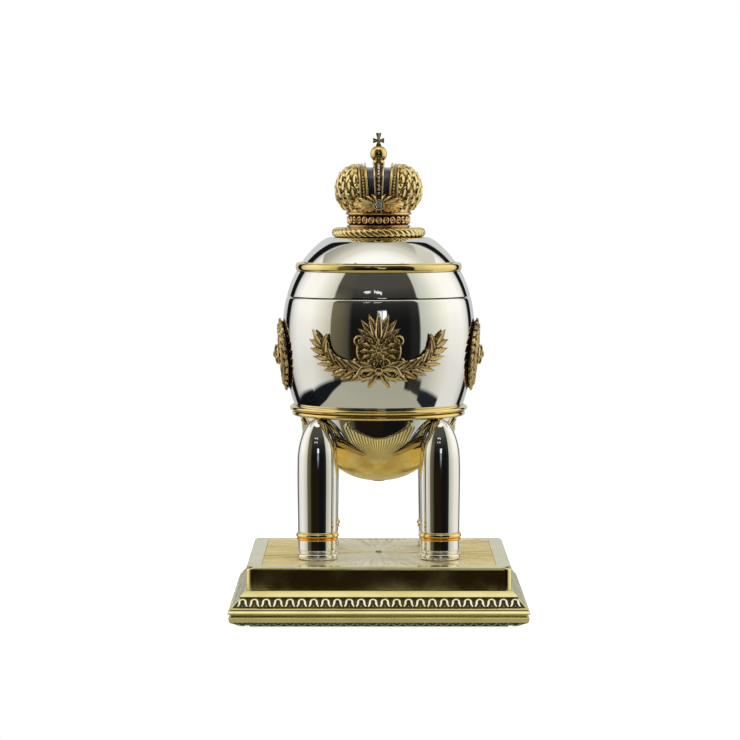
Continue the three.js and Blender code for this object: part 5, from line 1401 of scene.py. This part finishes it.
for side in (-1, 1):
    stamp(hoop, drawn(hoop_path(side, 0.1, 0.38), 8, up=(1, 0, 0)))
stone_spots = [at for at in thinned(hoop_path(0, 0.0, 0.5), 1.75) if at.xy.length > 2.6 and at.z > circlet_top + 6.5]
for at in stone_spots:
    for x in (-0.75, 0.75):
        add_ball(hoop, 0.24, at + Vector((x, 0, 0)), segments=6)


bed_top, bed_foot_half, bed_top_half = 187.0, 0.68, 1.7


def between_wires(tree):
    """Masks the bed of the stones, which widens upward between the wires."""
    at = shader_node(tree, "SeparateXYZ", {0: object_place(tree)})
    reach = mapped(tree, at.outputs[2], circlet_top * MM, bed_top * MM, bed_foot_half * MM, bed_top_half * MM)
    past = maths(tree, "SUBTRACT", maths(tree, "ABSOLUTE", at.outputs[0]), reach)
    return mapped(tree, past, 0, 0.0002, 1, 0)


arch_metal = gilt("arch_metal", (0.99, 0.90, 0.55), (0.92, 0.78, 0.38), (0.16, 0.07, 0.03),
                  (90, 0.12, 0.12), (0.0006, 0.1, 0.5), between_wires)
place_piece(hoop, "wire_arch", arch_metal, "lid", ["crown_arch"], crease=50)

brilliant = polished("brilliant", (0.60, 0.54, 0.48), (0.34, 0.28, 0.20), 500, 0.01, 0.05,
                     Transmission_Weight=0.85, IOR=2.2, Metallic=0)[0]


def cut_stone(radius, depth, table):
    """A round brilliant on Z: pavilion, girdle and a bevelled table, with its point down."""
    bm = bmesh.new()
    bmesh.ops.create_cone(bm, cap_ends=True, segments=8, radius1=radius * 0.12, radius2=radius, depth=depth,
                          matrix=Matrix.Translation((0, 0, -depth / 2)))
    top = [f for f in bm.faces if f.normal.z > 0.9]
    bmesh.ops.inset_region(bm, faces=top, thickness=radius * 0.42, depth=table)
    normals_out(bm)
    return bm


pave = bmesh.new()
small_stone = cut_stone(0.66, 0.35, 0.22)
for at in stone_spots:
    out = Vector((0, at.y, (at.z - circlet_top - 8) * 1.2)).normalized()
    stamp(pave, small_stone, [Matrix.Translation(at) @ out.to_track_quat("Z", "X").to_matrix().to_4x4()])
small_stone.free()
place_piece(pave, "arch_brilliants", brilliant, "lid", crease=5)


# Sprays and their stones ------------------------------------------------------------------------
# At the front and the back a spray of long leaves in antique gold lies over the foot of the arch.
# At its middle a round brilliant sits in a turned pale gilt setting, whose edge is rubbed over it.

setting_z = circlet_top + 3.2
setting_y = -16.6
spray_leaf = leaf(7.4, 1.6, 0.4, 0.3, 6)
spray_piece = bmesh.new()
for angle, length, lift in (
        (15, 1.25, 0.3), (5, 1.3, 0.45), (-5, 1.2, 0.35), (-15, 1.05, 0.25), (-25, 0.8, 0.15), (-38, 0.55, 0.1),
        (32, 0.7, 0.2), (55, 0.5, 0.1)):
    place = spun(radians(angle), 1.9, lift) @ Matrix.Diagonal((length, 1, 1, 1))
    stamp(spray_piece, spray_leaf, [Matrix.Diagonal((flip, 1, 1, 1)) @ place for flip in (1, -1)])
spray_leaf.free()
# Laid round the bulb: X runs round it and Z stands out from it.
for vert in spray_piece.verts:
    x, up, lift = vert.co
    z = max(setting_z + up, circlet_top + 0.05)
    share = 0.0
    while bulb_point(share, 0)[1] < z and share < 1:
        share += 0.002
    radius = bulb_point(share, -0.75)[0] + min(max(lift, 0), 0.9)
    angle = x / radius
    vert.co = (radius * sin(angle), -radius * cos(angle), z)
cup_turn = Matrix.Translation((0, setting_y, setting_z)) @ Matrix.Rotation(pi / 2, 4, "X")
spray_gold = gilt("spray_gold", (1.0, 0.76, 0.38), (0.88, 0.54, 0.20), (0.20, 0.065, 0.010),
                  (150, 0.12, 0.14), (0.0008, 0.15, 0.6))
setting = turned([
    (0, -0.3), (2.2, -0.3), (2.4, 0.2), (2.4, 1.3), (2.25, 1.65), (2.05, 1.75), (1.85, 1.65), (1.6, 1.1), (0, 0.95),
], 48, closed=False)
stone = cut_stone(1.6, 0.5, 0.38)
for side, angle in (("front", 0), ("back", pi)):
    about = Matrix.Rotation(angle, 4, "Z")
    copy = bmesh.new()
    stamp(copy, spray_piece, [about])
    place_piece(copy, f"leaf_spray_{side}", spray_gold, "lid", [f"crown_spray_{side}"], crease=45)
    copy = bmesh.new()
    stamp(copy, setting, [about @ cup_turn])
    place_piece(copy, f"setting_{side}", pale_gold, "lid")
    gem = bmesh.new()
    stamp(gem, stone, [about @ cup_turn @ Matrix.Translation((0, 0, 1.45))])
    place_piece(gem, f"set_stone_{side}", brilliant, "lid", [f"crown_stone_{side}"], crease=5)


# Orb and cross ----------------------------------------------------------------------------------
# A polished gilt orb, whose stem is the bolt that holds the crown on the dome, and on it a small
# splayed cross in antique gold set with tiny stones.

arch_top, orb_radius = 187.56, 3.5
stem_radius, stem_foot, collar_radius, neck_radius = 1.2, 152.76, 2.2, 0.8
orb_centre = arch_top + 0.6 + sqrt(orb_radius ** 2 - 1.9 ** 2)
orb_outline = [(0, stem_foot), (stem_radius, stem_foot), (stem_radius, arch_top - 1.1), (2.3, arch_top - 1.1),
               (2.45, arch_top - 0.9), (2.45, arch_top + 0.4), (2.3, arch_top + 0.6)]
orb_low, orb_high = -acos(collar_radius / orb_radius), acos(neck_radius / orb_radius)
for i in range(29):
    angle = orb_low + (orb_high - orb_low) * i / 28
    orb_outline.append((orb_radius * cos(angle), orb_centre + orb_radius * sin(angle)))
orb_top = orb_outline[-1][1]
orb_outline.append((0, orb_top))
orb = turned(orb_outline, 64, closed=False)
place_piece(orb, "polished_orb", band_gold, "lid", ["crown_orb"])

cross_height, cross_half, cross_thickness = 5.3, 2.3, 1.3
cross = bmesh.new()
bmesh.ops.create_circle(cross, segments=4, radius=0.75, cap_ends=True, matrix=Matrix.Rotation(pi / 4, 4, "Z"))
for edge in list(cross.edges):
    middle = (edge.verts[0].co + edge.verts[1].co) / 2
    way = middle.normalized()
    made = bmesh.ops.extrude_edge_only(cross, edges=[edge])["geom"]
    reach = cross_half if abs(way.x) > 0.5 else cross_height * (0.6 if way.y > 0 else 0.4)
    for vert in verts_of(made):
        side = vert.co - way * vert.co.dot(way)
        vert.co = way * reach + side.normalized() * 1.15
facing(cross, (0, 0, 1))
front = bmesh.ops.extrude_face_region(cross, geom=list(cross.faces))["geom"]
bmesh.ops.translate(cross, vec=(0, 0, cross_thickness), verts=verts_of(front))
normals_out(cross)
sharp = [e for e in cross.edges if len(e.link_faces) == 2 and e.calc_face_angle(0) > 0.8]
bmesh.ops.bevel(cross, geom=sharp, offset=0.14, segments=2, profile=0.5, affect="EDGES", material=-1)
for x, y in ((0, 0), (1.5, 0), (-1.5, 0), (0, 2.1), (0, -1.2)):
    for z in (cross_thickness, 0):
        add_ball(cross, 0.42, (x, y, z), 0.5, 10)
upright_cross = Matrix.Translation((0, cross_thickness / 2, orb_top + cross_height * 0.4))
bmesh.ops.transform(cross, matrix=upright_cross @ Matrix.Rotation(pi / 2, 4, "X"), verts=cross.verts)
place_piece(cross, "splayed_cross", crown_gold, "lid", ["crown_cross"], crease=30)
